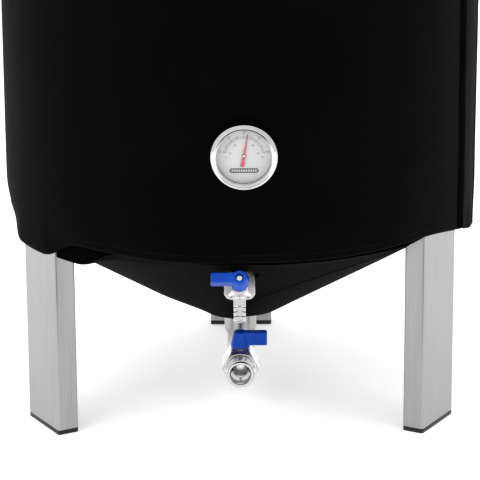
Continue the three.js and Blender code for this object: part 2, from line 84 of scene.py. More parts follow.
class Body(Enum):
    """The bodies that pieces ride on."""

    VESSEL = "vessel"
    LID = "lid"
    BELL = "airlock_bell"
    CAP = "airlock_cap"
    POINTER = "gauge_pointer"
    RACK_LEVER = "rack_lever"
    DRAIN_LEVER = "drain_lever"


class Slot(Enum):
    """The record's material slots."""

    SATIN = "steel_satin"
    POLISHED = "steel_polished"
    NEOPRENE = "neoprene"
    BLACK = "black_plastic"
    BLUE = "blue_vinyl"
    SILICONE = "silicone"
    PTFE = "ptfe"
    DIAL = "dial_white"
    RED = "pointer_red"
    CLEAR = "clear"
    LENS = "lens"


# ---- Surfaces ----
@dataclass
class Skin:
    """A surface of flat faces.

    Attributes:
        points: its corners, (n, 3), in millimetres.
        faces: arrays of corner numbers, one array for each number of corners to a face.
        uv: a place on the surface for each corner, (n, 2), in metres along it.
    """

    points: np.ndarray
    faces: list[np.ndarray]
    uv: np.ndarray

    @staticmethod
    def of(points: np.ndarray, faces: list[np.ndarray]) -> "Skin":
        """A skin whose uv is its own X and Y."""
        return Skin(points, faces, points[:, :2] * MM)

    @staticmethod
    def lattice(points: np.ndarray) -> "Skin":
        """Quads over a grid of points, whose uv is the distance along its middle row and column.

        Args:
            points: (rows, columns, 3). Edges that meet are welded when the mesh is made.

        Returns:
            The surface.
        """
        rows, columns = points.shape[:2]
        index = np.arange(rows * columns).reshape(rows, columns)
        quads = np.stack([index[:-1, :-1], index[1:, :-1], index[1:, 1:], index[:-1, 1:]], -1)
        down = np.linalg.norm(np.diff(points[:, columns // 2], axis=0), axis=1)
        across = np.linalg.norm(np.diff(points[rows // 2], axis=0), axis=1)
        u, v = np.meshgrid(np.append(0, np.cumsum(down)), np.append(0, np.cumsum(across)), indexing="ij")
        return Skin(points.reshape(-1, 3), [quads.reshape(-1, 4)], np.stack([u, v], -1).reshape(-1, 2) * MM)

    @staticmethod
    def joined(*skins: "Skin") -> "Skin":
        """Several skins as one."""
        starts = np.cumsum([0] + [len(s.points) for s in skins])
        faces = [face + start for s, start in zip(skins, starts) for face in s.faces]
        return Skin(np.concatenate([s.points for s in skins]), faces, np.concatenate([s.uv for s in skins]))

    def placed(self, place: "Place") -> "Skin":
        """This skin carried to a place."""
        return Skin(self.points @ place.axes.T + place.origin, self.faces, self.uv)

    def spun(self, axes: np.ndarray) -> "Skin":
        """This skin turned about the origin."""
        return Skin(self.points @ axes.T, self.faces, self.uv)

    def moved(self, x: float = 0, y: float = 0, z: float = 0) -> "Skin":
        """This skin shifted."""
        return Skin(self.points + np.array([x, y, z]), self.faces, self.uv)


def turn_x(degrees: float) -> np.ndarray:
    """The rotation about X."""
    return np.array(Matrix.Rotation(math.radians(degrees), 3, "X"))


def turn_y(degrees: float) -> np.ndarray:
    """The rotation about Y."""
    return np.array(Matrix.Rotation(math.radians(degrees), 3, "Y"))


def turn_z(degrees: float) -> np.ndarray:
    """The rotation about Z."""
    return np.array(Matrix.Rotation(math.radians(degrees), 3, "Z"))


def vessel_axis() -> np.ndarray:
    """Where the vessel's axis meets the floor: under the middle of the steel cylinder's box."""
    low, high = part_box("vessel_cylinder")
    return np.array([(low.x + high.x) / 2, (low.y + high.y) / 2, 0]) / MM


AXIS = vessel_axis()


@dataclass(frozen=True)
class Place:
    """A frame of reference: its origin, and its axes as the columns of a matrix."""

    origin: np.ndarray
    axes: np.ndarray

    @staticmethod
    def at(x: float, y: float, z: float, axes: np.ndarray | None = None) -> "Place":
        """A place given from the vessel's axis and the floor."""
        return Place(AXIS + np.array([x, y, z]), np.eye(3) if axes is None else axes)

    @staticmethod
    def outward(degrees: float) -> "Place":
        """The frame whose +X points away from the vessel's axis at an angle from the front."""
        return Place.at(0, 0, 0, turn_z(degrees - 90))

    def turned(self, axes: np.ndarray) -> "Place":
        """This place with its axes turned within it."""
        return Place(self.origin, self.axes @ axes)


def filleted(corners: list, radius: float | list[float], steps: int = 5, closed: bool = True) -> np.ndarray:
    """A line through corners, each rounded by an arc of a circle that touches both of its sides.

    The arc is the spherical blend of the two spokes from its centre, and a radius too large for the
    shorter side is cut down to what fits.

    Args:
        corners: points in two or three dimensions.
        radius: one radius for all the corners, or one for each.
        steps: pieces that each arc is cut into.
        closed: whether the last corner joins the first.

    Returns:
        The points of the rounded line. A closed line repeats its first point at its end.
    """
    points = np.asarray(corners, float)
    radii = np.broadcast_to(np.asarray(radius, float), len(points))
    share = np.linspace(0, 1, steps + 1)[:, None]
    made = []
    for i, corner in enumerate(points):
        back, on = points[i - 1] - corner, points[(i + 1) % len(points)] - corner
        lengths = np.linalg.norm(back), np.linalg.norm(on)
        u, v = back / lengths[0], on / lengths[1]
        turn = math.pi - math.acos(float(np.clip(u @ v, -1, 1)))
        end = not closed and i in (0, len(points) - 1)
        if end or radii[i] <= 0 or turn < 0.02 or turn > 3.1:
            made.append(corner[None])
            continue
        cut = min(radii[i] * math.tan(turn / 2), 0.48 * min(lengths))
        centre = corner + (u + v) / np.linalg.norm(u + v) * cut / math.sin(turn / 2)
        a, b = corner + u * cut - centre, corner + v * cut - centre
        made.append(centre + (np.sin((1 - share) * turn) * a + np.sin(share * turn) * b) / math.sin(turn))
    line = np.concatenate(made)
    return np.concatenate([line, line[:1]]) if closed else line


def turned(profile: np.ndarray, sides: int = SIDES) -> Skin:
    """A profile of (radius, height) turned about Z: x = radius cos(angle), y = radius sin(angle)."""
    angle = np.linspace(0, 2 * math.pi, sides + 1)[:, None]
    radius, height = profile[:, 0], profile[:, 1]
    points = np.stack(np.broadcast_arrays(radius * np.cos(angle), radius * np.sin(angle), height), -1)
    return Skin.lattice(points)


def lathed(corners: list, radius: float | list[float] = 0.3, sides: int = SIDES, steps: int = 4) -> Skin:
    """A closed profile with rounded corners turned about Z, or one that starts and ends on the axis."""
    on_axis = corners[0][0] == 0 and corners[-1][0] == 0
    return turned(filleted(corners, radius, steps, closed=not on_axis), sides)


def rod(radius: float, low: float, high: float, edge: float = 0.3, sides: int = 48) -> Skin:
    """A round bar along Z with rounded ends."""
    return lathed([(0, low), (radius, low), (radius, high), (0, high)], edge, sides, 3)


def circle(radius: float, sides: int = 24) -> np.ndarray:
    """A closed circle in two dimensions, its first point repeated at its end."""
    angle = np.linspace(0, 2 * math.pi, sides + 1)
    return radius * np.stack([np.cos(angle), np.sin(angle)], -1)


def swept(path: np.ndarray, section: np.ndarray, flat: tuple, edge: float = 0.4) -> Skin:
    """A closed section carried along a path that lies in a plane, with rounded-off ends.

    At each point of the path the section stands square to it: its first axis is the plane's normal
    crossed with the path's heading, and its second axis is that normal. Each end closes in two rings,
    one smaller by the edge and one shrunk to a point.

    Args:
        path: (n, 3).
        section: (m, 2), its first point repeated at its end.
        flat: the unit normal of the path's plane.
        edge: how much the ends are rounded.

    Returns:
        The closed surface.
    """
    heading = np.gradient(path, axis=0)
    heading /= np.linalg.norm(heading, axis=1)[:, None]
    size = np.abs(section).max()
    ends = [path[:1], path[:1], path[:1] + heading[:1] * edge]
    tail = [path[-1:] - heading[-1:] * edge, path[-1:], path[-1:]]
    line = np.concatenate([*ends, path[1:-1], *tail])
    ahead = np.concatenate([np.repeat(heading[:1], 3, 0), heading[1:-1], np.repeat(heading[-1:], 3, 0)])
    scale = np.concatenate([[0, 1 - edge / size, 1], np.ones(len(path) - 2), [1, 1 - edge / size, 0]])
    normal = np.array(flat, float)
    side = np.cross(normal, ahead)
    spread = scale[:, None, None] * section[None]
    return Skin.lattice(line[:, None] + spread[..., :1] * side[:, None] + spread[..., 1:] * normal)


def bar(corners: list, radius: float, bend: float, flat: tuple) -> Skin:
    """A round bar along straight runs joined by bends, in one plane."""
    return swept(filleted(corners, bend, 10, closed=False), circle(radius), flat)


def prism(outline: np.ndarray, low: float, high: float, edge: float = 0.4, steps: int = 3) -> Skin:
    """An outline drawn in X and Y and raised along Z, with its top and bottom edges rounded.

    Each level is the outline moved inwards along its own normals, by the edge's radius less its
    quarter-circle height, and a flat face closes each end.

    Args:
        outline: (m, 2), its first point repeated at its end, anticlockwise.
        low: the bottom's height.
        high: the top's height.
        edge: the radius of the rounded edges.
        steps: pieces that each rounded edge is cut into.

    Returns:
        The closed surface.
    """
    loop = outline[:-1]
    after, before = np.roll(loop, -1, 0) - loop, loop - np.roll(loop, 1, 0)
    tangent = sum(step / np.linalg.norm(step, axis=1)[:, None] for step in (after, before))
    tangent /= np.linalg.norm(tangent, axis=1)[:, None]
    normal = np.stack([tangent[:, 1], -tangent[:, 0]], -1)
    quarter = np.linspace(0, math.pi / 2, steps + 1)
    inset = edge * (1 - np.sin(quarter))
    rise = edge * (1 - np.cos(quarter))
    levels = np.concatenate([low + rise, (high - rise)[::-1]])
    insets = np.concatenate([inset, inset[::-1]])
    flat = loop[None] - insets[:, None, None] * normal[None]
    points = np.concatenate([flat, np.broadcast_to(levels[:, None, None], (*flat.shape[:2], 1))], -1)
    wrapped = np.concatenate([points, points[:, :1]], 1)
    skin = Skin.lattice(wrapped)
    count = wrapped.shape[1]
    last = (len(levels) - 1) * count
    ends = np.stack([np.arange(count - 1)[::-1], last + np.arange(count - 1)])
    return Skin(skin.points, [*skin.faces, ends], skin.uv)


def oblong(width: float, depth: float, radius: float, steps: int = 6) -> np.ndarray:
    """A rectangle about the origin with round corners, anticlockwise."""
    x, y = width / 2, depth / 2
    return filleted([(x, -y), (x, y), (-x, y), (-x, -y)], radius, steps)


def repeated(template: Skin, centres: np.ndarray, along: np.ndarray, up: np.ndarray) -> Skin:
    """Copies of a small skin, each at its own centre with its X along one direction and Z along another.

    Args:
        template: the small skin.
        centres: (n, 3).
        along: unit directions for the template's X, (n, 3) or (3,).
        up: unit directions for the template's Z, (n, 3) or (3,).

    Returns:
        All the copies as one skin.
    """
    centres, along, up = np.broadcast_arrays(centres, along, up)
    side = np.cross(up, along)
    x, y, z = (template.points[:, i] for i in range(3))
    points = (centres[:, None] + x[:, None] * along[:, None] + y[:, None] * side[:, None]
              + z[:, None] * up[:, None])
    shift = (np.arange(len(centres)) * len(template.points))[:, None, None]
    faces = [(face[None] + shift).reshape(-1, face.shape[1]) for face in template.faces]
    return Skin(points.reshape(-1, 3), faces, np.tile(template.uv, (len(centres), 1)))


def smooth_step(value: np.ndarray) -> np.ndarray:
    """0 below 0 and 1 above 1, with an S-shaped rise between."""
    share = np.clip(value, 0, 1)
    return share * share * (3 - 2 * share)


def hump(angle: np.ndarray, middle: float, half: float) -> np.ndarray:
    """A smooth bump of height 1 at an angle in degrees, that is 0 beyond its half width."""
    away = np.abs((angle - middle + 180) % 360 - 180) / half
    return smooth_step(1 - away)


# ---- Meshes ----
def mesh_of(name: str, skin: Skin) -> bpy.types.Mesh:
    """The skin as a mesh in metres, welded where its edges meet, with its faces pointing outwards.

    Args:
        name: the mesh's name.
        skin: the surface, in millimetres.

    Returns:
        The mesh.
    """
    mesh = bpy.data.meshes.new(name)
    corners = np.concatenate([face.ravel() for face in skin.faces]).astype(np.int32)
    counts = np.concatenate([np.full(len(face), face.shape[1]) for face in skin.faces])
    starts = (np.cumsum(counts) - counts).astype(np.int32)
    mesh.vertices.add(len(skin.points))
    mesh.vertices.foreach_set("co", (skin.points * MM).astype(np.float32).ravel())
    mesh.loops.add(len(corners))
    mesh.loops.foreach_set("vertex_index", corners)
    mesh.polygons.add(len(counts))
    mesh.polygons.foreach_set("loop_start", starts)
    mesh.uv_layers.new(name="UVMap").data.foreach_set("uv", skin.uv[corners].astype(np.float32).ravel())
    mesh.update(calc_edges=True)
    sheet = bmesh.new()
    sheet.from_mesh(mesh)
    bmesh.ops.remove_doubles(sheet, verts=sheet.verts, dist=WELD)
    bmesh.ops.recalc_face_normals(sheet, faces=sheet.faces)
    sheet.to_mesh(mesh)
    sheet.free()
    return mesh


def settled(thing: bpy.types.Object) -> None:
    """Applies the object's modifiers to its mesh."""
    graph = bpy.context.evaluated_depsgraph_get()
    made = bpy.data.meshes.new_from_object(thing.evaluated_get(graph), depsgraph=graph)
    old = thing.data
    thing.modifiers.clear()
    thing.data = made
    bpy.data.meshes.remove(old)


def object_of(name: str, skin: Skin) -> bpy.types.Object:
    """A new object in the scene with the skin as its mesh."""
    thing = bpy.data.objects.new(name, mesh_of(name, skin))
    bpy.context.scene.collection.objects.link(thing)
    return thing


def fused(thing: bpy.types.Object, voxel: float, rounds: int = 6) -> None:
    """Melts the object's overlapping shells into one, as a casting or moulding is, and smooths it.

    Args:
        thing: the object.
        voxel: the size of the grid that it is rebuilt on, in millimetres.
        rounds: how often it is smoothed.
    """
    melt = thing.modifiers.new("melt", "REMESH")
    melt.mode = "VOXEL"
    melt.voxel_size = voxel * MM
    if rounds:
        soften = thing.modifiers.new("soften", "SMOOTH")
        soften.factor = 0.5
        soften.iterations = rounds
    settled(thing)


def carved(thing: bpy.types.Object, *cutters: Skin) -> None:
    """Cuts closed skins out of the object.

    Args:
        thing: the object to cut.
        cutters: what is taken away.
    """
    for cutter in cutters:
        tool = object_of("cutter", cutter)
        cut = thing.modifiers.new("cut", "BOOLEAN")
        cut.operation = "DIFFERENCE"
        cut.solver = "EXACT"
        cut.object = tool
        settled(thing)
        bpy.data.objects.remove(tool)


@dataclass
class Piece:
    """One named piece of the model, with what it is made of and what it moves with."""

    name: str
    skin: Skin
    finish: "Finish"
    body: str
    stands_for: tuple[str, ...] = ()
    crease: float = 35  # degrees between faces past which an edge stays sharp
    shape: Callable[[bpy.types.Object], None] | None = None

    def build(self) -> bpy.types.Object:
        """Makes the piece and puts it into the frame.

        Returns:
            The piece's object.
        """
        thing = object_of(self.name, self.skin)
        if self.shape:
            self.shape(thing)
        mesh = thing.data
        mesh.materials.clear()
        mesh.materials.append(self.finish.material())
        mesh.polygons.foreach_set("use_smooth", np.ones(len(mesh.polygons), bool))
        mesh.set_sharp_from_angle(angle=math.radians(self.crease))
        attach(thing, self.body)
        if self.stands_for:
            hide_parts(*self.stands_for)
        log.info("%s rides on %s, %d faces", self.name, self.body, len(mesh.polygons))
        return thing


# ---- Finishes ----
class Graph:
    """A material's nodes, with one Principled shader at the end."""

    def __init__(self, name: str) -> None:
        """Starts a material with a bare shader."""
        self.material = bpy.data.materials.new(name)
        self.material.use_nodes = True
        self.tree = self.material.node_tree
        self.shader = next(n for n in self.tree.nodes if n.type == "BSDF_PRINCIPLED")

    def constant(self, **values: float | tuple) -> None:
        """Sets values on the shader's own sockets; an underscore stands for a space."""
        for name, value in values.items():
            self.shader.inputs[name.replace("_", " ")].default_value = value

    def node(self, kind: str, inputs: dict | None = None, **settings: object) -> bpy.types.Node:
        """A new node.

        Args:
            kind: the node's type.
            inputs: a value, or another node's output, for each named input.
            settings: the node's own properties.

        Returns:
            The node.
        """
        made = self.tree.nodes.new(kind)
        for name, value in settings.items():
            setattr(made, name, value)
        for name, value in (inputs or {}).items():
            if isinstance(value, bpy.types.NodeSocket):
                self.tree.links.new(value, made.inputs[name])
            else:
                made.inputs[name].default_value = value
        return made

    def link(self, source: bpy.types.NodeSocket, name: str) -> None:
        """Joins an output to one of the shader's sockets."""
        self.tree.links.new(source, self.shader.inputs[name])

    def space(self, scale: tuple, source: str = "Object", turn: tuple = (0, 0, 0)) -> bpy.types.NodeSocket:
        """Coordinates on the object or its UV map, in repeats per metre."""
        coords = self.node("ShaderNodeTexCoord").outputs[source]
        return self.node("ShaderNodeMapping", {"Vector": coords, "Scale": scale, "Rotation": turn}).outputs[0]

    def noise(self, where: bpy.types.NodeSocket, detail: float = 3,
              rough: float = 0.5) -> bpy.types.NodeSocket:
        """Cloudy noise, once per unit of the coordinates."""
        inputs = {"Vector": where, "Scale": 1.0, "Detail": detail, "Roughness": rough}
        return self.node("ShaderNodeTexNoise", inputs).outputs["Fac"]

    def spread(self, value: bpy.types.NodeSocket, low: float, high: float) -> bpy.types.NodeSocket:
        """A noise's middle range stretched to run from low to high."""
        inputs = {"Value": value, "From Min": 0.3, "From Max": 0.7, "To Min": low, "To Max": high}
        return self.node("ShaderNodeMapRange", inputs).outputs[0]

    def tint(self, value: bpy.types.NodeSocket, dark: tuple, pale: tuple) -> bpy.types.NodeSocket:
        """A noise's middle range as a colour between two colours."""
        share = self.spread(value, 0, 1)
        made = self.node("ShaderNodeMix", data_type="RGBA")
        self.tree.links.new(share, made.inputs[0])
        made.inputs[6].default_value = (*dark, 1)
        made.inputs[7].default_value = (*pale, 1)
        return made.outputs[2]

    def relief(self, height: bpy.types.NodeSocket, depth: float,
               under: bpy.types.NodeSocket | None = None) -> bpy.types.NodeSocket:
        """Bumps of a depth in millimetres, over other bumps if there are any."""
        inputs = {"Height": height, "Distance": depth * MM, "Strength": 1.0}
        if under:
            inputs["Normal"] = under
        return self.node("ShaderNodeBump", inputs).outputs[0]


@dataclass(frozen=True)
class Finish:
    """What a surface is made of. Each kind of finish adds its nodes in dress()."""

    name: str
    slot: Slot

    def dress(self, graph: Graph) -> None:
        """Adds the finish's nodes to a new material."""
        raise NotImplementedError

    def material(self) -> bpy.types.Material:
        """The finish's material, made the first time that it is asked for."""
        made = bpy.data.materials.get(self.name)
        if made is None:
            graph = Graph(self.name)
            self.dress(graph)
            made = graph.material
        return made


@dataclass(frozen=True)
class BrushedSteel(Finish):
    """Stainless sheet with a satin grain: long streaks of noise drive its tone, gloss and relief."""

    grain: tuple[float, float, float] = (900, 900, 12)  # repeats per metre; small along the grain
    dark: float = 0.56
    pale: float = 0.70
    smooth: float = 0.26
    dull: float = 0.40

    def dress(self, graph: Graph) -> None:
        """Adds the streaks and a faint cloudiness.

        Args:
            graph: the material's nodes.
        """
        streaks = graph.noise(graph.space(self.grain), 4, 0.6)
        clouds = graph.noise(graph.space((9, 9, 9)), 2)
        tones = [(tone, tone * 1.005, tone * 1.012) for tone in (self.dark, self.pale)]
        graph.link(graph.tint(streaks, *tones), "Base Color")
        gloss = graph.node("ShaderNodeMath", {0: graph.spread(streaks, self.smooth, self.dull),
                                              1: graph.spread(clouds, -0.03, 0.03)}, operation="ADD")
        graph.link(gloss.outputs[0], "Roughness")
        graph.link(graph.relief(streaks, 0.012), "Normal")
        graph.constant(Metallic=1.0, Anisotropic=0.3)


@dataclass(frozen=True)
class PolishedSteel(Finish):
    """Turned or buffed stainless steel: nearly a mirror, with fingered gloss."""

    tone: float = 0.66
    smooth: float = 0.07
    dull: float = 0.18

    def dress(self, graph: Graph) -> None:
        """Adds a fine mottle to the gloss, a slight change of tone and a skin of tiny dents."""
        mottle = graph.noise(graph.space((260, 260, 260)), 4, 0.6)
        clouds = graph.noise(graph.space((45, 45, 45)), 2)
        dark, pale = (self.tone * share for share in (0.9, 1.06))
        graph.link(graph.tint(clouds, (dark, dark, dark), (pale, pale, pale)), "Base Color")
        graph.link(graph.spread(mottle, self.smooth, self.dull), "Roughness")
        graph.link(graph.relief(mottle, 0.006), "Normal")
        graph.constant(Metallic=1.0)


@dataclass(frozen=True)
class Neoprene(Finish):
    """Foam rubber faced with black knit: small rounded stitches in a grid, a soft nap and faint lint."""

    tone: float = 0.0007
    knit: float = 1100  # stitches per metre
    nap: float = 0.007
    shine: float = 0.022

    def dress(self, graph: Graph) -> None:
        """Adds the knit, its blotchy shade and the slow unevenness of the foam under it.

        Args:
            graph: the material's nodes.
        """
        loops = graph.space((self.knit, self.knit * 0.8, 1), "UV")
        cells = graph.node("ShaderNodeTexVoronoi", {"Vector": loops, "Scale": 1.0, "Randomness": 0.25})
        clouds = graph.noise(graph.space((14, 14, 14)), 4, 0.65)
        lint = graph.noise(graph.space((420, 420, 420)), 3, 0.7)
        dark, pale = self.tone * 0.75, self.tone * 1.35
        graph.link(graph.tint(clouds, (dark, dark, dark * 1.06), (pale, pale, pale * 1.06)), "Base Color")
        graph.link(graph.spread(lint, 0.62, 0.8), "Roughness")
        foam = graph.relief(clouds, 0.5)
        graph.link(graph.relief(cells.outputs["Distance"], 0.12, foam), "Normal")
        graph.constant(Sheen_Weight=self.nap, Sheen_Roughness=0.45, Specular_IOR_Level=self.shine)


@dataclass(frozen=True)
class Moulded(Finish):
    """Moulded plastic, vinyl or rubber: a colour that drifts a little, over a fine pebbled skin."""

    dark: tuple[float, float, float] = (0.010, 0.010, 0.011)
    pale: tuple[float, float, float] = (0.018, 0.018, 0.019)
    smooth: float = 0.35
    dull: float = 0.5
    pebbles: float = 900  # per metre
    depth: float = 0.015
    glow: float = 0.0  # share of light that scatters under the skin
    coat: float = 0.0
    shine: float = 0.5

    def dress(self, graph: Graph) -> None:
        """Adds the drift of colour, the pebbles and the uneven gloss."""
        drift = graph.noise(graph.space((70, 70, 70)), 2)
        skin = graph.noise(graph.space((self.pebbles,) * 3), 2)
        graph.link(graph.tint(drift, self.dark, self.pale), "Base Color")
        graph.link(graph.spread(skin, self.smooth, self.dull), "Roughness")
        graph.link(graph.relief(skin, self.depth), "Normal")
        graph.constant(Subsurface_Weight=self.glow, Subsurface_Scale=0.002, Coat_Weight=self.coat,
                       Coat_Roughness=0.12, Specular_IOR_Level=self.shine)


@dataclass(frozen=True)
class ClearSheet(Finish):
    """Clear plastic or glass: nearly invisible face on, and bright at its edges."""

    tone: tuple[float, float, float] = (0.93, 0.96, 0.97)
    face: float = 0.05
    rim: float = 0.65
    smooth: float = 0.03

    def dress(self, graph: Graph) -> None:
        """Lets the surface show more the more it turns away, with a faint haze in its gloss."""
        haze = graph.noise(graph.space((120, 120, 120)), 3)
        facing = graph.node("ShaderNodeLayerWeight", {"Blend": 0.35}).outputs["Facing"]
        inputs = {"Value": facing, "To Min": self.face, "To Max": self.rim}
        graph.link(graph.node("ShaderNodeMapRange", inputs).outputs[0], "Alpha")
        graph.link(graph.spread(haze, self.smooth, self.smooth + 0.05), "Roughness")
        graph.constant(Base_Color=(*self.tone, 1), IOR=1.5)


LEG_STEEL = BrushedSteel("leg steel", Slot.SATIN, dark=0.30, pale=0.37)
TANK_STEEL = BrushedSteel("tank steel", Slot.SATIN, grain=(12, 12, 900), dark=0.40, pale=0.50, smooth=0.2,
                          dull=0.34)
PLATE_STEEL = BrushedSteel("plate steel", Slot.SATIN, grain=(700, 700, 60), dark=0.42, pale=0.50)
BRIGHT_STEEL = PolishedSteel("bright steel", Slot.POLISHED)
CAST_STEEL = PolishedSteel("cast steel", Slot.POLISHED, tone=0.42, smooth=0.24, dull=0.4)
NICKEL = PolishedSteel("nickel plate", Slot.POLISHED, tone=0.76, smooth=0.22, dull=0.34)
MIRROR_STEEL = PolishedSteel("mirror steel", Slot.POLISHED, tone=0.86, smooth=0.03, dull=0.09)
JERSEY = Neoprene("knit neoprene", Slot.NEOPRENE)
# Painted shade: a darker copy of the knit neoprene for the cone panel. Its colour, nap and shine are turned
# down so that the underside, which the glowing floor lights, stays darker than the same knit would be.
SHADED_UNDERSIDE_JERSEY = Neoprene("shaded underside neoprene", Slot.NEOPRENE, tone=0.0004, nap=0.003, shine=0.010)
BINDING = Neoprene("binding tape", Slot.NEOPRENE, tone=0.0012, knit=1700, nap=0.012)
THREAD = Moulded("black thread", Slot.NEOPRENE, (0.0015, 0.0015, 0.0017), (0.004, 0.004, 0.0045), 0.5, 0.7,
                 3000, 0.05, shine=0.05)
FOOT_PLASTIC = Moulded("foot plastic", Slot.BLACK, (0.004, 0.004, 0.004), (0.008, 0.008, 0.008), shine=0.3)
BLUE_VINYL = Moulded("blue vinyl", Slot.BLUE, (0.0015, 0.046, 0.34), (0.003, 0.064, 0.44), 0.30, 0.44, 700,
                     0.03, shine=0.16)
MILKY_SILICONE = Moulded("milky silicone", Slot.SILICONE, (0.70, 0.72, 0.72), (0.80, 0.82, 0.82), 0.4, 0.55,
                         400, 0.02, glow=0.4)
WHITE_PTFE = Moulded("white ptfe", Slot.PTFE, (0.84, 0.84, 0.82), (0.92, 0.92, 0.90), 0.35, 0.5, 300, 0.01)
DIAL_WHITE = Moulded("dial white", Slot.DIAL, (0.54, 0.54, 0.54), (0.57, 0.57, 0.57), 0.4, 0.5, 1500, 0.004)
DIAL_INK = Moulded("dial ink", Slot.DIAL, (0.012, 0.012, 0.013), (0.022, 0.022, 0.024), 0.5, 0.6, 1500, 0.004)
POINTER_RED = Moulded("pointer red", Slot.RED, (0.45, 0.012, 0.025), (0.55, 0.02, 0.035), 0.4, 0.5, 900,
                      0.004, shine=0.2)
CLEAR_PLASTIC = ClearSheet("clear plastic", Slot.CLEAR, face=0.10, rim=0.75)
BEZEL_STEEL = PolishedSteel("bezel steel", Slot.POLISHED, tone=0.62, smooth=0.04, dull=0.12)
LENS_GLASS = ClearSheet("lens glass", Slot.LENS, face=0.04, rim=0.5, smooth=0.01)


# ---- Vessel ----
@dataclass
class Vessel:
    """The steel cylinder with its rolled rim, the cone under it and the seam weld up its back."""

    radius: float = 201.5
    sheet: float = 1.5
    bottom: float = 203.0
    rim_top: float = 660.0
    bead: float = 4.5  # how far the rolled rim stands out
    cone_angle: float = 30.0
    tip_radius: float = 12.0
    seam_angle: float = 168.0
    seam_width: float = 4.4

    def cone_height(self, radius: float) -> float:
        """The height of the cone's outer face at a radius."""
        return self.bottom - 0.3 - (self.radius - radius) * math.tan(math.radians(self.cone_angle))

    def cylinder(self) -> Skin:
        """The wall, with a rim rolled outwards into a bead."""
        inner, top, out = self.radius - self.sheet, self.rim_top, self.radius + self.bead
        corners = [(inner, self.bottom), (self.radius, self.bottom), (self.radius, top - 6), (out, top - 5.2),
                   (out, top), (inner, top)]
        return lathed(corners, [0.3, 0.3, 1.5, 2.4, 2.4, 1.2], BIG_SIDES)

    def cone(self) -> Skin:
        """The cone, down to the drain port."""
        rise = self.sheet / math.cos(math.radians(self.cone_angle))
        lean = rise / math.tan(math.radians(self.cone_angle))
        top, tip = self.bottom - 0.3, self.cone_height(self.tip_radius)
        corners = [(self.tip_radius, tip), (self.radius, top), (self.radius - lean, top),
                   (self.tip_radius, tip + rise)]
        return lathed(corners, 0.2, BIG_SIDES)

    def seam(self) -> Skin:
        """The ground-back weld: a low half-ellipse across, with ripples along it."""
        across = np.linspace(-1, 1, 9)[None, :]
        up = np.linspace(self.bottom + 2, self.rim_top - 8, 300)[:, None]
        ripple = 0.05 * np.abs(np.sin(up * math.pi / 1.4))
        out = self.radius - 0.2 + (0.4 + ripple) * np.sqrt(1 - across**2)
        points = np.stack(np.broadcast_arrays(out, across * self.seam_width / 2, up), -1)
        back = np.array([self.radius - 0.4, 0, 0]) * np.ones_like(points)
        back[..., 1:] = points[..., 1:]
        loop = np.concatenate([points, back[:, ::-1], points[:, :1]], 1)
        low, high = (np.broadcast_to(row.mean(0), row.shape)[None] for row in (loop[0], loop[-1]))
        return Skin.lattice(np.concatenate([low, loop, high])).placed(Place.outward(self.seam_angle))

    def build(self, port: Skin) -> None:
        """Makes the vessel's pieces.

        Args:
            port: the closed skin to cut out of the cone for the racking valve.
        """
        vessel = Body.VESSEL.value
        Piece("steel_cylinder", self.cylinder().moved(*AXIS), TANK_STEEL, vessel,
              ("vessel_cylinder",)).build()
        Piece("steel_cone", self.cone().moved(*AXIS), TANK_STEEL, vessel, ("vessel_cone",),
              shape=lambda thing: carved(thing, port)).build()
        Piece("seam_weld", self.seam(), TANK_STEEL, vessel).build()


# ---- Legs ----
@dataclass
class Leg:
    """A box-section leg cut to the cone at its top, and the plug cap in its foot."""

    name: str
    angle: float
    vessel: Vessel
    width: float = 60.0
    depth: float = 20.0
    wall: float = 1.5
    corner: float = 2.5
    cap_height: float = 4.0
    plug: float = 20.0
    gap: float = 0.3

    def centre(self) -> float:
        """How far the leg's middle is from the vessel's axis."""
        return self.vessel.radius - self.depth / 2

    def tube(self) -> Skin:
        """The wall: its outside from the foot up, over the slanted cut, and its inside back down.

        The cut's height at each point of the section is the cone's height there, less the weld's gap.
        """
        outer = oblong(self.depth, self.width, self.corner)
        inner = oblong(self.depth - 2 * self.wall, self.width - 2 * self.wall, self.corner - self.wall + 0.2)
        foot = self.cap_height + self.gap
        rows = []
        slope = math.tan(math.radians(self.vessel.cone_angle))
        for outline, shares in ((outer, np.linspace(0, 1, 30)), (inner, np.linspace(1, 0, 12))):
            top = self.vessel.cone_height(self.centre()) + outline[:, 0] * slope - 0.6
            height = foot + shares[:, None] * (top - foot)[None]
            flat = np.broadcast_to(outline[None], (*height.shape, 2))
            rows.append(np.concatenate([flat, height[..., None]], -1))
        points = np.concatenate([*rows, rows[0][:1]])
        points[..., 0] += self.centre()
        return Skin.lattice(points)

    def cap(self) -> Skin:
        """The flange under the tube and the plug inside it."""
        fit = 2 * (self.wall + self.gap)
        flange = prism(oblong(self.depth, self.width, self.corner), 0, self.cap_height, 0.7)
        plug = prism(oblong(self.depth - fit, self.width - fit, 1), self.cap_height - 0.2,
                     self.cap_height + self.plug, 0.8)
        return Skin.joined(flange, plug).moved(self.centre())

    def build(self) -> None:
        """Makes the leg and its cap."""
        place = Place.outward(self.angle)
        foot = self.name.replace("leg", "foot_cap")
        Piece(self.name.replace("leg", "box_leg"), self.tube().placed(place), LEG_STEEL, Body.VESSEL.value,
              (self.name,)).build()
        Piece(self.name.replace("leg", "plug_cap"), self.cap().placed(place), FOOT_PLASTIC, Body.VESSEL.value,
              (foot,)).build()


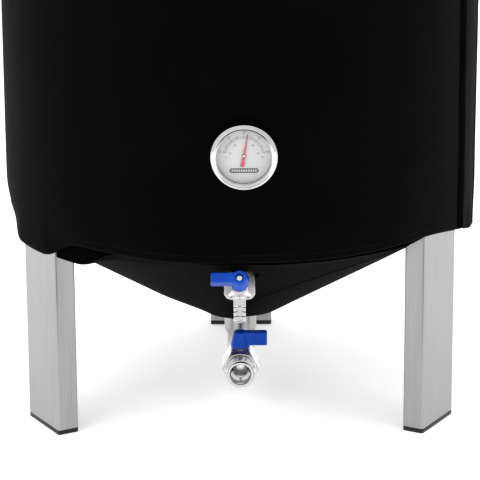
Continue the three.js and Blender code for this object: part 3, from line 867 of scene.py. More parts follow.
# ---- Jacket ----
@dataclass
class Jacket:
    """The neoprene jacket: its wall, the conical panel under it, the closing flap and the stitching."""

    leg: Leg
    leg_angles: tuple[float, ...]
    outer: float = 209.5
    thick: float = 5.2
    bottom: float = 180.0
    top: float = 590.0
    rim_radius: float = 203.9
    tip_radius: float = 36.0
    tip_height: float = 79.3
    flap_from: float = 66.0
    flap_to: float = 78.0
    flap_thick: float = 2.0
    flap_margin: float = 5.0
    lap_start: float = 46.0  # where the panel's overlap meets the rim, in degrees
    lap_lean: float = 0.33  # degrees that the overlap moves round for each millimetre inwards
    gauge_height: float = 275.0
    gauge_right: float = 4.3
    stitch: float = 3.6
    left_sag: float = 16.0  # how far the hem hangs down over the left leg
    flap_sag: float = 15.0  # and round the flap
    pressure: float = 3.0
    frames: int = 20
    cap: float = 3.5  # the most that the foam may swell by
    puff: np.ndarray | None = None  # how far the simulated foam swells, over angle and height

    def over_legs(self, around: np.ndarray, half: float = 15) -> np.ndarray:
        """1 over each leg's middle, fading to 0 beside it."""
        return np.clip(sum(hump(around, angle, half) for angle in self.leg_angles) * 1.6, 0, 1)

    def hem(self, around: np.ndarray) -> np.ndarray:
        """The wall's lower edge: it sags over the left leg and, in a wide curve, round the flap."""
        left = smooth_step((around + 76) / 6.5) * smooth_step((-42 - around) / 13)
        return (self.bottom + 0.6 - self.left_sag * left - self.flap_sag * hump(around, 84, 32)
                + 0.5 * hump(around, 50, 9) + 0.5 * np.sin(np.radians(around) * 9 + 1))

    def outside(self, around: np.ndarray, height: np.ndarray) -> np.ndarray:
        """The radius of the wall's outer face.

        It is the jacket's radius, drawn in towards the hem except over the legs and most of all on the
        left, dimpled where the thermometer's case presses on it, with slow waves in the foam and a soft
        crease each side of the flap.

        Args:
            around: angles in degrees.
            height: heights that go with them.

        Returns:
            The radii.
        """
        turn = np.radians(around)
        foot = smooth_step((self.bottom + 34 - height) / 40)
        pull = 2.6 + 4.5 * hump(around, -98, 38) - 2.6 * hump(around, 88, 60)
        drawn = foot**1.5 * pull * (1 - self.over_legs(around))
        waves = (0.45 * np.sin(3 * turn + 0.7 + height / 170) + 0.30 * np.sin(7 * turn - height / 95)
                 + 0.22 * np.sin(13 * turn + height / 60 + 2))
        calm = 1 - hump(around, 0, 16) * smooth_step(1 - np.abs(height - self.gauge_height) / 60)
        away = np.hypot(np.radians(around) * self.outer - self.gauge_right, height - self.gauge_height)
        dimple = 0.7 * smooth_step((40 - away) / 14)
        beside = hump(around, self.flap_from - 0.5, 1.2) + hump(around, self.flap_to + 0.5, 1.2)
        ripple = 1.1 * foot * np.sin(turn * 46) * hump(around, 78, 26) * (1 - self.over_legs(around))
        return self.outer - drawn + waves * calm - dimple - 1.1 * beside + ripple

    def swell(self, around: np.ndarray, height: np.ndarray) -> np.ndarray:
        """The simulated swelling of the foam, blended between its grid points.

        Args:
            around: angles in degrees.
            height: heights that go with them.

        Returns:
            How far out the face moves.
        """
        if self.puff is None:
            return np.zeros(np.broadcast(around, height).shape)
        rows, columns = self.puff.shape
        row = (around % 360) / 360 * (rows - 1)
        column = np.clip((height - self.bottom) / (self.top - self.bottom), 0, 1) * (columns - 1)
        i, j = np.minimum(row.astype(int), rows - 2), np.minimum(column.astype(int), columns - 2)
        u, v = row - i, column - j
        near = self.puff[i, j] * (1 - v) + self.puff[i, j + 1] * v
        far = self.puff[i + 1, j] * (1 - v) + self.puff[i + 1, j + 1] * v
        return near * (1 - u) + far * u

    def inflate(self, rows: int = 180, columns: int = 46) -> None:
        """Finds how the foam swells by a cloth simulation of the wall's outer face.

        The cloth is one layer, pushed outwards by a gentle pressure and held along the hem and the top
        edge, under the flap, over the legs and round the thermometer. What it moves by, measured from
        the axis and capped, is kept as a grid over angle and height.

        Args:
            rows: the cloth's points round the vessel.
            columns: its points from hem to top.
        """
        around = np.arange(rows)[:, None] * (360 / rows)
        signed = (around + 180) % 360 - 180
        height = self.bottom + np.linspace(0, 1, columns)[None, :] * (self.top - self.bottom)
        radius = self.outside(signed, height)
        turn = np.radians(around)
        points = np.stack(np.broadcast_arrays(radius * np.sin(turn), -radius * np.cos(turn), height), -1)
        i, j = np.meshgrid(np.arange(rows), np.arange(columns - 1), indexing="ij")
        after = (i + 1) % rows
        this, that = i * columns + j, after * columns + j
        quads = np.stack([this, that, that + 1, this + 1], -1)
        mesh = bpy.data.meshes.new("cloth")
        mesh.from_pydata((points * MM).reshape(-1, 3), [], quads.reshape(-1, 4).tolist())
        thing = bpy.data.objects.new("cloth", mesh)
        bpy.context.scene.collection.objects.link(thing)
        edge = np.minimum(height - self.bottom, self.top - height)
        gauge = np.hypot(np.radians(signed) * self.outer - self.gauge_right, height - self.gauge_height)
        middle, half = (self.flap_from + self.flap_to) / 2, (self.flap_to - self.flap_from) / 2
        legs = sum(np.abs((signed - angle + 180) % 360 - 180) < 10 for angle in self.leg_angles) > 0
        held = ((edge < 14) | (gauge < 42) | (np.abs(signed - middle) < half + 1.5)
                | (legs & (height < self.bottom + 40)))
        pins = thing.vertex_groups.new(name="held")
        pins.add(np.nonzero(held.ravel())[0].tolist(), 1.0, "REPLACE")
        cloth = thing.modifiers.new("cloth", "CLOTH")
        cloth.settings.vertex_group_mass = "held"
        cloth.settings.quality = 5
        cloth.settings.mass = 0.4
        cloth.settings.tension_stiffness = cloth.settings.compression_stiffness = 12
        cloth.settings.bending_stiffness = 6
        cloth.settings.use_pressure = True
        cloth.settings.uniform_pressure_force = self.pressure
        cloth.settings.effector_weights.gravity = 0
        cloth.point_cache.frame_end = self.frames
        for frame in range(1, self.frames + 1):
            bpy.context.scene.frame_set(frame)
        graph = bpy.context.evaluated_depsgraph_get()
        found = np.empty(rows * columns * 3, np.float32)
        thing.evaluated_get(graph).to_mesh().vertices.foreach_get("co", found)
        found = found.reshape(rows, columns, 3) / MM
        bpy.context.scene.frame_set(1)
        bpy.data.objects.remove(thing)
        swelling = np.clip(np.hypot(found[..., 0], found[..., 1]) - radius, -1, self.cap)
        self.puff = np.concatenate([swelling, swelling[:1]])
        log.info("foam swells by %.2f to %.2f mm", self.puff.min(), self.puff.max())

    def wall(self) -> Skin:
        """The wall: down its outer face, round the hem, up its inner face and round the top edge."""
        around = np.linspace(-180, 180, 541)[:, None]
        share = (1 - np.linspace(1, 0, 74) ** 1.6)[None, :]
        hem, round_off = self.hem(around), self.thick / 2
        height = self.top - round_off - share * (self.top - 2 * round_off - hem)
        outside = self.outside(around, height) + self.swell(around, height)
        bend = np.linspace(0, math.pi, 7)[None, 1:-1]
        low, high = height[:, -1:], height[:, :1]
        hem_r = outside[:, -1:] - round_off + round_off * np.cos(bend)
        top_r = outside[:, :1] - round_off - round_off * np.cos(bend)
        inside_height = height[:, ::-4]
        inside = self.outside(around, inside_height) - self.thick
        radius = np.concatenate([outside, hem_r, inside, top_r, outside[:, :1]], 1)
        level = np.concatenate([height, low - round_off * np.sin(bend), inside_height,
                                high + round_off * np.sin(bend), height[:, :1]], 1)
        return self.round_the_axis(around, radius, level)

    def round_the_axis(self, around: np.ndarray, radius: np.ndarray, height: np.ndarray) -> Skin:
        """A lattice from angles in degrees, radii and heights about the vessel's axis."""
        turn = np.radians(around)
        points = np.stack(np.broadcast_arrays(radius * np.sin(turn), -radius * np.cos(turn), height), -1)
        return Skin.lattice(points + AXIS)

    def slot(self) -> tuple[float, float]:
        """How far out a leg's slot in the panel starts, and half its width."""
        ease = 0.6
        return self.leg.centre() - self.leg.depth / 2 - ease, self.leg.width / 2 + ease

    def rim(self, around: np.ndarray) -> np.ndarray:
        """The panel's outer edge: its full radius, or the inner side of a leg's slot."""
        radius = np.full(around.shape, self.rim_radius)
        face, half = self.slot()
        for angle in self.leg_angles:
            away = np.radians(np.abs((around - angle + 180) % 360 - 180))
            within = away < math.atan2(half, face)
            radius = np.where(within, face / np.cos(np.where(within, away, 0)), radius)
        return radius

    def lap_edge(self, radius: np.ndarray) -> np.ndarray:
        """The angle of the panel's overlapping edge at a radius: a straight line on the flat pattern."""
        return self.lap_start - self.lap_lean * (self.rim_radius - radius)

    def underside(self, around: np.ndarray, radius: np.ndarray) -> np.ndarray:
        """The height of the panel's outer face.

        It is a cone that sags on the left, and lower where the foam bunches beside the left leg, by its
        own thickness past the overlapping edge, and by slow folds that run from the tip to the rim.

        Args:
            around: angles in degrees.
            radius: radii that go with them.

        Returns:
            The heights.
        """
        share = (radius - self.tip_radius) / (self.rim_radius - self.tip_radius)
        cone = self.tip_height + share * (self.bottom - self.tip_height)
        bunch = (15.5 * smooth_step((-30 - around) / 13) * smooth_step((around + 62) / 6)
                 * smooth_step(1 - np.abs(radius - self.rim_radius) / 22))
        past = self.lap_edge(radius) - around
        lap = 1.9 * smooth_step(past / 0.8) * smooth_step((75 - past) / 60)
        roll = 0.9 * np.exp(-(((past - 1.6) / 1.1) ** 2))
        turn = np.radians(around)
        folds = (0.7 * np.sin(5 * turn + radius / 60) + 0.4 * np.sin(11 * turn - radius / 35)) * share
        sag = (4.5 * hump(around, -66, 48) * smooth_step(share / 0.3)
               * smooth_step((1 - share) / 0.08))
        return cone - bunch - sag - lap - roll - folds * smooth_step((self.rim_radius - radius) / 12)

    def cone_panel(self) -> Skin:
        """The panel: in along its outer face to the tip, and back out along its inner face."""
        face, half = self.slot()
        corner = math.degrees(math.atan2(half, face))
        exact = [angle + side * (corner + past) for angle in self.leg_angles for side in (-1, 1)
                 for past in (-0.02, 0.02)]
        exact = (np.array(exact) + 180) % 360 - 180
        around = np.unique(np.concatenate([np.linspace(-180, 180, 601), exact]))[:, None]
        share = (np.linspace(0, 1, 60) ** 1.25)[None, :]
        edge = self.rim(around)
        radius = edge - share * (edge - self.tip_radius)
        outside = self.underside(around, radius)
        slope = math.atan2(self.bottom - self.tip_height, self.rim_radius - self.tip_radius)
        rise = self.thick / math.cos(slope)
        inner_radius = radius[:, ::-3]
        share_in = (inner_radius - self.tip_radius) / (self.rim_radius - self.tip_radius)
        inside = self.tip_height + share_in * (self.bottom - self.tip_height) + rise
        radii = np.concatenate([radius, inner_radius, radius[:, :1]], 1)
        heights = np.concatenate([outside, inside, outside[:, :1]], 1)
        return self.round_the_axis(around, radii, heights)

    def flap(self) -> Skin:
        """The closing flap: a strip round the wall with a rolled binding down each long edge.

        Across it the outer face rises from each edge over a narrow roll, dips, and swells gently in the
        middle; the edges wander a little up the height.
        """
        across = np.linspace(-1, 1, 61)[None, :]
        middle, half = (self.flap_from + self.flap_to) / 2, (self.flap_to - self.flap_from) / 2
        low = self.hem(middle + half * across) + 0.8 + 3 * np.abs(across) ** 12
        height = low + np.linspace(0, 1, 220)[:, None] * (self.top - self.flap_margin - low)
        wander = 0.25 * np.sin(height / 31) + 0.15 * np.sin(height / 13 + 1)
        around = middle + half * across + wander * np.abs(across) ** 4
        under = self.outside(around, height) + 0.4
        edge = (1 - np.abs(across)) * half / 180 * math.pi * self.outer
        rounded = np.sqrt(np.clip(1 - (1 - np.clip(edge / 1.6, 0, 1)) ** 2, 0, 1))
        roll = 0.9 * np.exp(-(((edge - 2.4) / 1.5) ** 2))
        belly = 1.1 * (1 - across**2) * (0.7 + 0.3 * np.sin(height / 47))
        face = under + (self.flap_thick + roll) * rounded + belly
        radius = np.concatenate([face, under[:, ::-1], face[:, :1]], 1)
        angles = np.concatenate([around, around[:, ::-1], around[:, :1]], 1)
        height = np.concatenate([height, height[:, ::-1], height[:, :1]], 1)
        shut = [np.repeat(row.mean(1, keepdims=True), row.shape[1], 1)
                for row in (radius[:1], radius[-1:], angles[:1], angles[-1:])]
        radius = np.concatenate([shut[0], radius, shut[1]])
        angles = np.concatenate([shut[2], angles, shut[3]])
        return self.round_the_axis(angles, radius, np.concatenate([height[:1], height, height[-1:]]))

    def binding(self) -> Skin:
        """The tape folded over the top edge: a flattened ring round it."""
        around = np.linspace(-180, 180, 361)[:, None]
        bend = np.linspace(0, 2 * math.pi, 21)[None, :]
        middle = self.outside(around, np.full_like(around, self.top - 3)) - self.thick / 2
        square = np.abs(np.cos(bend)) ** 0.5 * np.sign(np.cos(bend))
        return self.round_the_axis(around, middle + (self.thick / 2 + 0.7) * square,
                                   self.top - 4.4 + 5.4 * np.sin(bend))

    def stitches(self) -> Skin:
        """Runs of short thread along the hem, the top, both edges of the flap and the panel's overlap."""
        thread = turned(filleted([(0, -1.25), (0.42, -1.0), (0.42, 1.0), (0, 1.25)], 0.3, 1, closed=False), 6)
        thread = thread.spun(turn_y(90))
        rings = []
        for rise, level in ((7.5, self.hem), (-13.0, lambda a: np.full_like(a, self.top))):
            around = np.arange(0, 360, math.degrees(self.stitch / self.outer)) - 180
            around = around[np.abs(around - (self.flap_from + self.flap_to) / 2) > 8.2]
            height = level(around) + rise
            rings.append(self.run(thread, around, self.outside(around, height), height, False))
        height = np.arange(self.bottom + 14, self.top - 12, self.stitch)
        for angle in (self.flap_from + 1.5, self.flap_to - 1.5):
            around = np.full_like(height, angle)
            lift = 0.4 + self.flap_thick + 0.35
            rings.append(self.run(thread, around, self.outside(around, height) + lift, height, True))
        radius = np.arange(self.tip_radius + 6, self.rim_radius - 8, self.stitch * 0.9)
        around = self.lap_edge(radius) - 3.2
        level = self.underside(around, radius) - 0.05
        turn = np.radians(around)
        centres = np.stack([radius * np.sin(turn), -radius * np.cos(turn), level], -1) + AXIS
        along = np.gradient(centres, axis=0)
        along /= np.linalg.norm(along, axis=1)[:, None]
        outward = np.stack([np.sin(turn) * 0.5, -np.cos(turn) * 0.5, np.full_like(turn, -0.86)], -1)
        outward -= (outward * along).sum(1)[:, None] * along
        outward /= np.linalg.norm(outward, axis=1)[:, None]
        rings.append(repeated(thread, centres, along, outward))
        return Skin.joined(*rings)

    def run(self, thread: Skin, around: np.ndarray, radius: np.ndarray, height: np.ndarray,
            upright: bool) -> Skin:
        """A run of stitches on the wall, level or upright."""
        turn = np.radians(around)
        away = np.stack([np.sin(turn), -np.cos(turn), np.zeros_like(turn)], -1)
        level = np.stack([np.cos(turn), np.sin(turn), np.zeros_like(turn)], -1)
        centres = away * (radius + 0.05)[:, None] + AXIS
        centres[:, 2] = height
        return repeated(thread, centres, np.array([0.0, 0, 1]) if upright else level, away)

    def build(self, gauge_hole: Skin, valve_hole: Skin) -> None:
        """Args:
            gauge_hole: the closed skin to cut out of the wall for the thermometer.
            valve_hole: the closed skin to cut out of the panel for the racking valve.
        """
        self.inflate()
        vessel = Body.VESSEL.value
        soft = [
            Piece("jacket_shell", self.wall(), JERSEY, vessel, ("jacket_wall",), 60,
                  lambda thing: carved(thing, gauge_hole)).build(),
            # The cone panel wears the darker copy of the neoprene: painted shade on the underside.
            Piece("jacket_underside", self.cone_panel(), SHADED_UNDERSIDE_JERSEY, vessel, ("jacket_cone",), 50,
                  lambda thing: carved(thing, valve_hole)).build(),
            Piece("jacket_closure", self.flap(), BINDING, vessel, ("jacket_flap",), 70).build(),
        ]
        Piece("jacket_top_binding", self.binding(), BINDING, vessel, crease=70).build()
        Piece("jacket_stitches", self.stitches(), THREAD, vessel, crease=80).build()


# ---- Side handles ----
@dataclass
class SideHandle:
    """A bent bar on two round pads welded to the vessel's wall."""

    name: str
    angle: float
    vessel: Vessel
    half: float = 52.0
    reach: float = 30.0
    height: float = 626.0
    bar_radius: float = 4.0
    bend: float = 14.0
    pad_radius: float = 11.0
    pad_thick: float = 2.0

    def build(self) -> None:
        """Makes the handle: bar, pads and the weld's fillet round each post."""
        foot = self.vessel.radius + 0.3
        out = self.vessel.radius + self.reach
        path = [(foot + 0.5, -self.half, self.height), (out, -self.half, self.height),
                (out, self.half, self.height), (foot + 0.5, self.half, self.height)]
        grip = bar(path, self.bar_radius, self.bend, (0, 0, 1))
        fillet = self.bar_radius + 1.6
        throat = self.pad_thick + 1.8
        pad = lathed([(0, 0), (self.pad_radius, 0), (self.pad_radius, self.pad_thick),
                      (fillet, self.pad_thick), (self.bar_radius - 0.1, throat), (0, throat)],
                     [0, 0.3, 0.7, 1.6, 0.1, 0]).spun(turn_y(90))
        pads = [pad.moved(foot, side * self.half, self.height) for side in (-1, 1)]
        skin = Skin.joined(grip, *pads).placed(Place.outward(self.angle))
        Piece("bar_" + self.name, skin, BRIGHT_STEEL, Body.VESSEL.value, (self.name,)).build()


# ---- Lid ----
@dataclass
class Lid:
    """The pressed lid with its seal, its handle and the four catches that the latches pull on."""

    vessel: Vessel
    catch_angles: tuple[float, ...]
    radius: float = 209.0
    shoulder: float = 4.2  # top of the flat shoulder over the rim
    sheet: float = 1.2
    skirt: float = 8.0
    dome: tuple[tuple[float, float], ...] = ((0, 31), (90, 25), (172, 3), (186, 0))
    handle_half: float = 52.0
    handle_height: float = 40.0
    handle_bar: float = 4.5

    def flat(self) -> float:
        """The height of the flat shoulder's top."""
        return self.vessel.rim_top + self.shoulder

    def shell(self) -> Skin:
        """The dome, shoulder and skirt, with a hemmed lower edge."""
        flat, low = self.flat(), self.vessel.rim_top - self.skirt
        top = [(r, flat + rise) for r, rise in self.dome]
        under = [(r, flat + rise - self.sheet) for r, rise in reversed(self.dome)]
        inner = self.radius - self.sheet
        corners = [*top, (self.radius, flat), (self.radius + 0.4, low), (inner, low),
                   (inner, flat - self.sheet), *under]
        radii = [0, 160, 30, 12, 3.2, 0.5, 0.4, 2.2, 12, 30, 160, 0]
        return lathed(corners, radii, BIG_SIDES, 7)

    def catch(self) -> Skin:
        """One catch: a folded tab whose hooked outer edge takes the latch's loop."""
        flat = self.flat()
        corners = [(-9, flat - 0.4), (9, flat - 0.4), (9, flat + 1.6), (10.5, flat + 6), (9, flat + 6.4),
                   (7, flat + 2), (-9, flat + 1.6)]
        outline = filleted(corners, [0.3, 0.5, 1.0, 0.6, 0.6, 2.0, 0.6], 4)[:-1]
        return along_y(outline, 9.0, 0.6).moved(self.vessel.radius)

    def build(self) -> None:
        """Makes the lid's pieces."""
        lid = Body.LID.value
        catches = [self.catch().placed(Place.outward(angle)) for angle in self.catch_angles]
        dome = Skin.joined(self.shell().moved(*AXIS), *catches)
        Piece("domed_lid", dome, TANK_STEEL, lid, ("lid",)).build()
        inner, outer = self.vessel.radius - 1, self.vessel.radius + self.vessel.bead - 0.5
        low, high = self.vessel.rim_top + 0.3, self.flat() - self.sheet - 0.3
        seal = lathed([(inner, low), (outer, low), (outer, high), (inner, high)], 0.9, BIG_SIDES)
        Piece("rim_seal", seal.moved(*AXIS), MILKY_SILICONE, lid, ("lid_seal",)).build()
        seat = self.flat() + self.dome[0][1] + 0.3
        path = [(-self.handle_half, 0, seat + 1), (-self.handle_half, 0, seat + self.handle_height),
                (self.handle_half, 0, seat + self.handle_height), (self.handle_half, 0, seat + 1)]
        grip = bar(path, self.handle_bar, 15, (0, 1, 0))
        pad = lathed([(0, 0), (12, 0), (12, 2.5), (6.6, 2.5), (4.4, 4.4), (0, 4.4)],
                     [0, 0.3, 0.8, 1.8, 0.1, 0])
        pads = [pad.moved(side * self.handle_half, 0, seat) for side in (-1, 1)]
        Piece("bar_lid_handle", Skin.joined(grip, *pads).moved(*AXIS), BRIGHT_STEEL, lid,
              ("lid_handle",)).build()


def along_y(outline: np.ndarray, half: float, edge: float) -> Skin:
    """A closed outline drawn in X and Z and raised along Y both ways, with rounded long edges."""
    loop = np.concatenate([outline, outline[:1]])
    area = np.sum(loop[:-1, 0] * loop[1:, 1] - loop[1:, 0] * loop[:-1, 1])
    raised = prism(loop if area > 0 else loop[::-1], -half, half, edge)
    return Skin(raised.points[:, [0, 2, 1]] * np.array([1, -1, 1]), raised.faces, raised.uv)


# ---- Airlock ----
@dataclass
class Airlock:
    """The bung in the lid and the three-piece airlock that stands in it."""

    vessel: Vessel
    back: float = 100.0  # how far behind the vessel's axis it stands
    cup_radius: float = 18.0
    bell_radius: float = 11.0

    def build(self) -> None:
        """Makes the bung, cup, bell and cap."""
        rim = self.vessel.rim_top
        top = rim + 40
        floor = top + 8
        brim = floor + 52
        bung = [(5.3, rim + 6), (11.6, rim + 6), (12.8, rim + 31), (16, rim + 31.5), (16.5, top), (5.3, top)]
        cup = [(3.4, rim + 2), (5, rim + 2), (5, floor), (17.5, floor), (self.cup_radius, floor + 2),
               (self.cup_radius, brim), (16.6, brim), (16.6, floor + 1.8), (5, floor + 1.8), (5, floor + 36),
               (3.4, floor + 36)]
        bell = [(9.9, floor + 4), (self.bell_radius, floor + 4), (self.bell_radius, floor + 42),
                (0, floor + 42), (0, floor + 40.8), (9.9, floor + 40.8)]
        cap = [(18.3, brim - 5), (19.5, brim - 5), (19.5, brim + 2), (18, brim + 3), (0, brim + 3),
               (0, brim + 0.3), (18.3, brim + 0.3)]
        line = lathed([(17.9, floor + 30), (18.4, floor + 30.4), (17.9, floor + 30.8)], 0.1, SIDES, 2)
        pieces = [
            ("silicone_bung", lathed(bung, [0.8, 1.2, 0.8, 0.8, 1.2, 0.8]), MILKY_SILICONE, Body.LID,
             "airlock_bung"),
            ("clear_cup", Skin.joined(lathed(cup, [0.3, 0.5, 1, 1.5, 1.5, 0.5, 0.5, 1, 1, 0.5, 0.3]), line),
             CLEAR_PLASTIC, Body.LID, "airlock_cup"),
            ("clear_bell", lathed(bell, [0.4, 0.4, 3, 0, 0, 2]), CLEAR_PLASTIC, Body.BELL, "airlock_bell"),
            ("clear_cap", lathed(cap, [0.4, 0.4, 1, 1, 0, 0, 0.8]), CLEAR_PLASTIC, Body.CAP, "airlock_cap"),
        ]
        for name, skin, finish, body, node in pieces:
            Piece(name, skin.moved(*AXIS).moved(y=self.back), finish, body.value, (node,)).build()


# ---- Latches ----
@dataclass
class Latch:
    """A draw latch hanging open under the rim: plate, lever and wire loop."""

    number: int
    angle: float
    vessel: Vessel
    pivot_out: float = 9.0
    pivot_drop: float = 20.0  # below the rim's top
    loop_out: float = 13.0
    loop_drop: float = 26.0
    loop_length: float = 35.0

    def cross_pin(self, radius: float, half: float, out: float, height: float) -> Skin:
        """A round pin along Y."""
        return rod(radius, -half, half, 0.3, 24).spun(turn_x(90)).moved(out, 0, height)

    def plate(self) -> Skin:
        """The backplate with two ears and four spot welds."""
        z = self.vessel.rim_top - self.pivot_drop
        back = prism(oblong(28, 34, 3), 0, 1.5, 0.35).moved(0, z - 7)
        sheet = Skin(back.points[:, [2, 0, 1]], back.faces, back.uv)
        corners = [(1.0, z - 5.5), (self.pivot_out, z - 3.6), (self.pivot_out + 3.6, z),
                   (self.pivot_out, z + 3.6), (1.0, z + 5.5)]
        ear = along_y(filleted(corners, [0, 3, 3.4, 3, 0])[:-1], 0.75, 0.25)
        spot = lathed([(0, 1.4), (2.2, 1.4), (1.6, 1.75), (0, 1.6)], 0.4, 24).spun(turn_y(90))
        spots = [spot.moved(0, y, z + dz) for y in (-6, 6) for dz in (7, -20)]
        return Skin.joined(sheet, *[ear.moved(y=y) for y in (-10.75, 10.75)], *spots)

    def lever(self) -> Skin:
        """The bent blade with its turned-out lip, its pivot pin and the lugs that hold the loop."""
        z, out = self.vessel.rim_top - self.pivot_drop, self.pivot_out
        corners = [(out - 0.8, z + 3), (out - 0.8, z - 28), (out + 4, z - 35), (out + 5.2, z - 34),
                   (out + 0.8, z - 27.5), (out + 0.8, z + 3)]
        blade = along_y(filleted(corners, [0.7, 9, 0.5, 0.5, 8, 0.7])[:-1], 9.3, 0.4)
        loop = self.vessel.rim_top - self.loop_drop
        sides = filleted([(out, loop - 2.8), (out + 6.4, loop - 2.8), (out + 6.4, loop + 2.8),
                          (out, loop + 2.8)], [0.2, 2.6, 2.6, 0.2])[:-1]
        lugs = [along_y(sides, 0.9, 0.3).moved(y=y) for y in (-8.4, 8.4)]
        return Skin.joined(blade, self.cross_pin(1.4, 12.2, out, z), *lugs)

    def loop(self) -> Skin:
        """The wire loop, hooked into the lugs and hanging down."""
        high = self.vessel.rim_top - self.loop_drop
        low, half = high - self.loop_length, 13.2
        path = [(0, -7.8, high), (0, -half, high), (0, -half, low), (0, half, low), (0, half, high),
                (0, 7.8, high)]
        return bar(path, 1.2, 2.6, (1, 0, 0)).moved(self.loop_out)

    def build(self) -> None:
        """Makes the latch's three pieces."""
        place = Place.outward(self.angle)
        out = self.vessel.radius + 0.3
        n = self.number
        for name, skin, finish, body, node in (
            (f"latch_back_{n}", self.plate(), PLATE_STEEL, Body.VESSEL.value, f"latch_plate_{n}"),
            (f"latch_blade_{n}", self.lever(), BRIGHT_STEEL, f"latch_lever_{n}", f"latch_lever_{n}"),
            (f"latch_wire_{n}", self.loop(), BRIGHT_STEEL, f"latch_loop_{n}", f"latch_loop_{n}"),
        ):
            Piece(name, skin.moved(out).placed(place), finish, body, (node,)).build()


# ---- Thermometer ----
def numeral(words: str, size: float) -> Skin:
    """A number or a unit's mark as a thin closed skin, centred on the origin and facing +Z.

    Args:
        words: its characters.
        size: their height.

    Returns:
        The skin.
    """
    text = bpy.data.curves.new("numeral", "FONT")
    text.body, text.size, text.extrude = words, size, 0.03
    text.align_x, text.align_y, text.resolution_u = "CENTER", "CENTER", 3
    holder = bpy.data.objects.new("numeral", text)
    bpy.context.scene.collection.objects.link(holder)
    graph = bpy.context.evaluated_depsgraph_get()
    mesh = bpy.data.meshes.new_from_object(holder.evaluated_get(graph))
    points = np.empty(len(mesh.vertices) * 3, np.float32)
    mesh.vertices.foreach_get("co", points)
    mesh.calc_loop_triangles()
    corners = np.empty(len(mesh.loop_triangles) * 3, np.int32)
    mesh.loop_triangles.foreach_get("vertices", corners)
    bpy.data.objects.remove(holder)
    bpy.data.meshes.remove(mesh)
    bpy.data.curves.remove(text)
    return Skin.of(points.reshape(-1, 3).astype(float), [corners.reshape(-1, 3)])


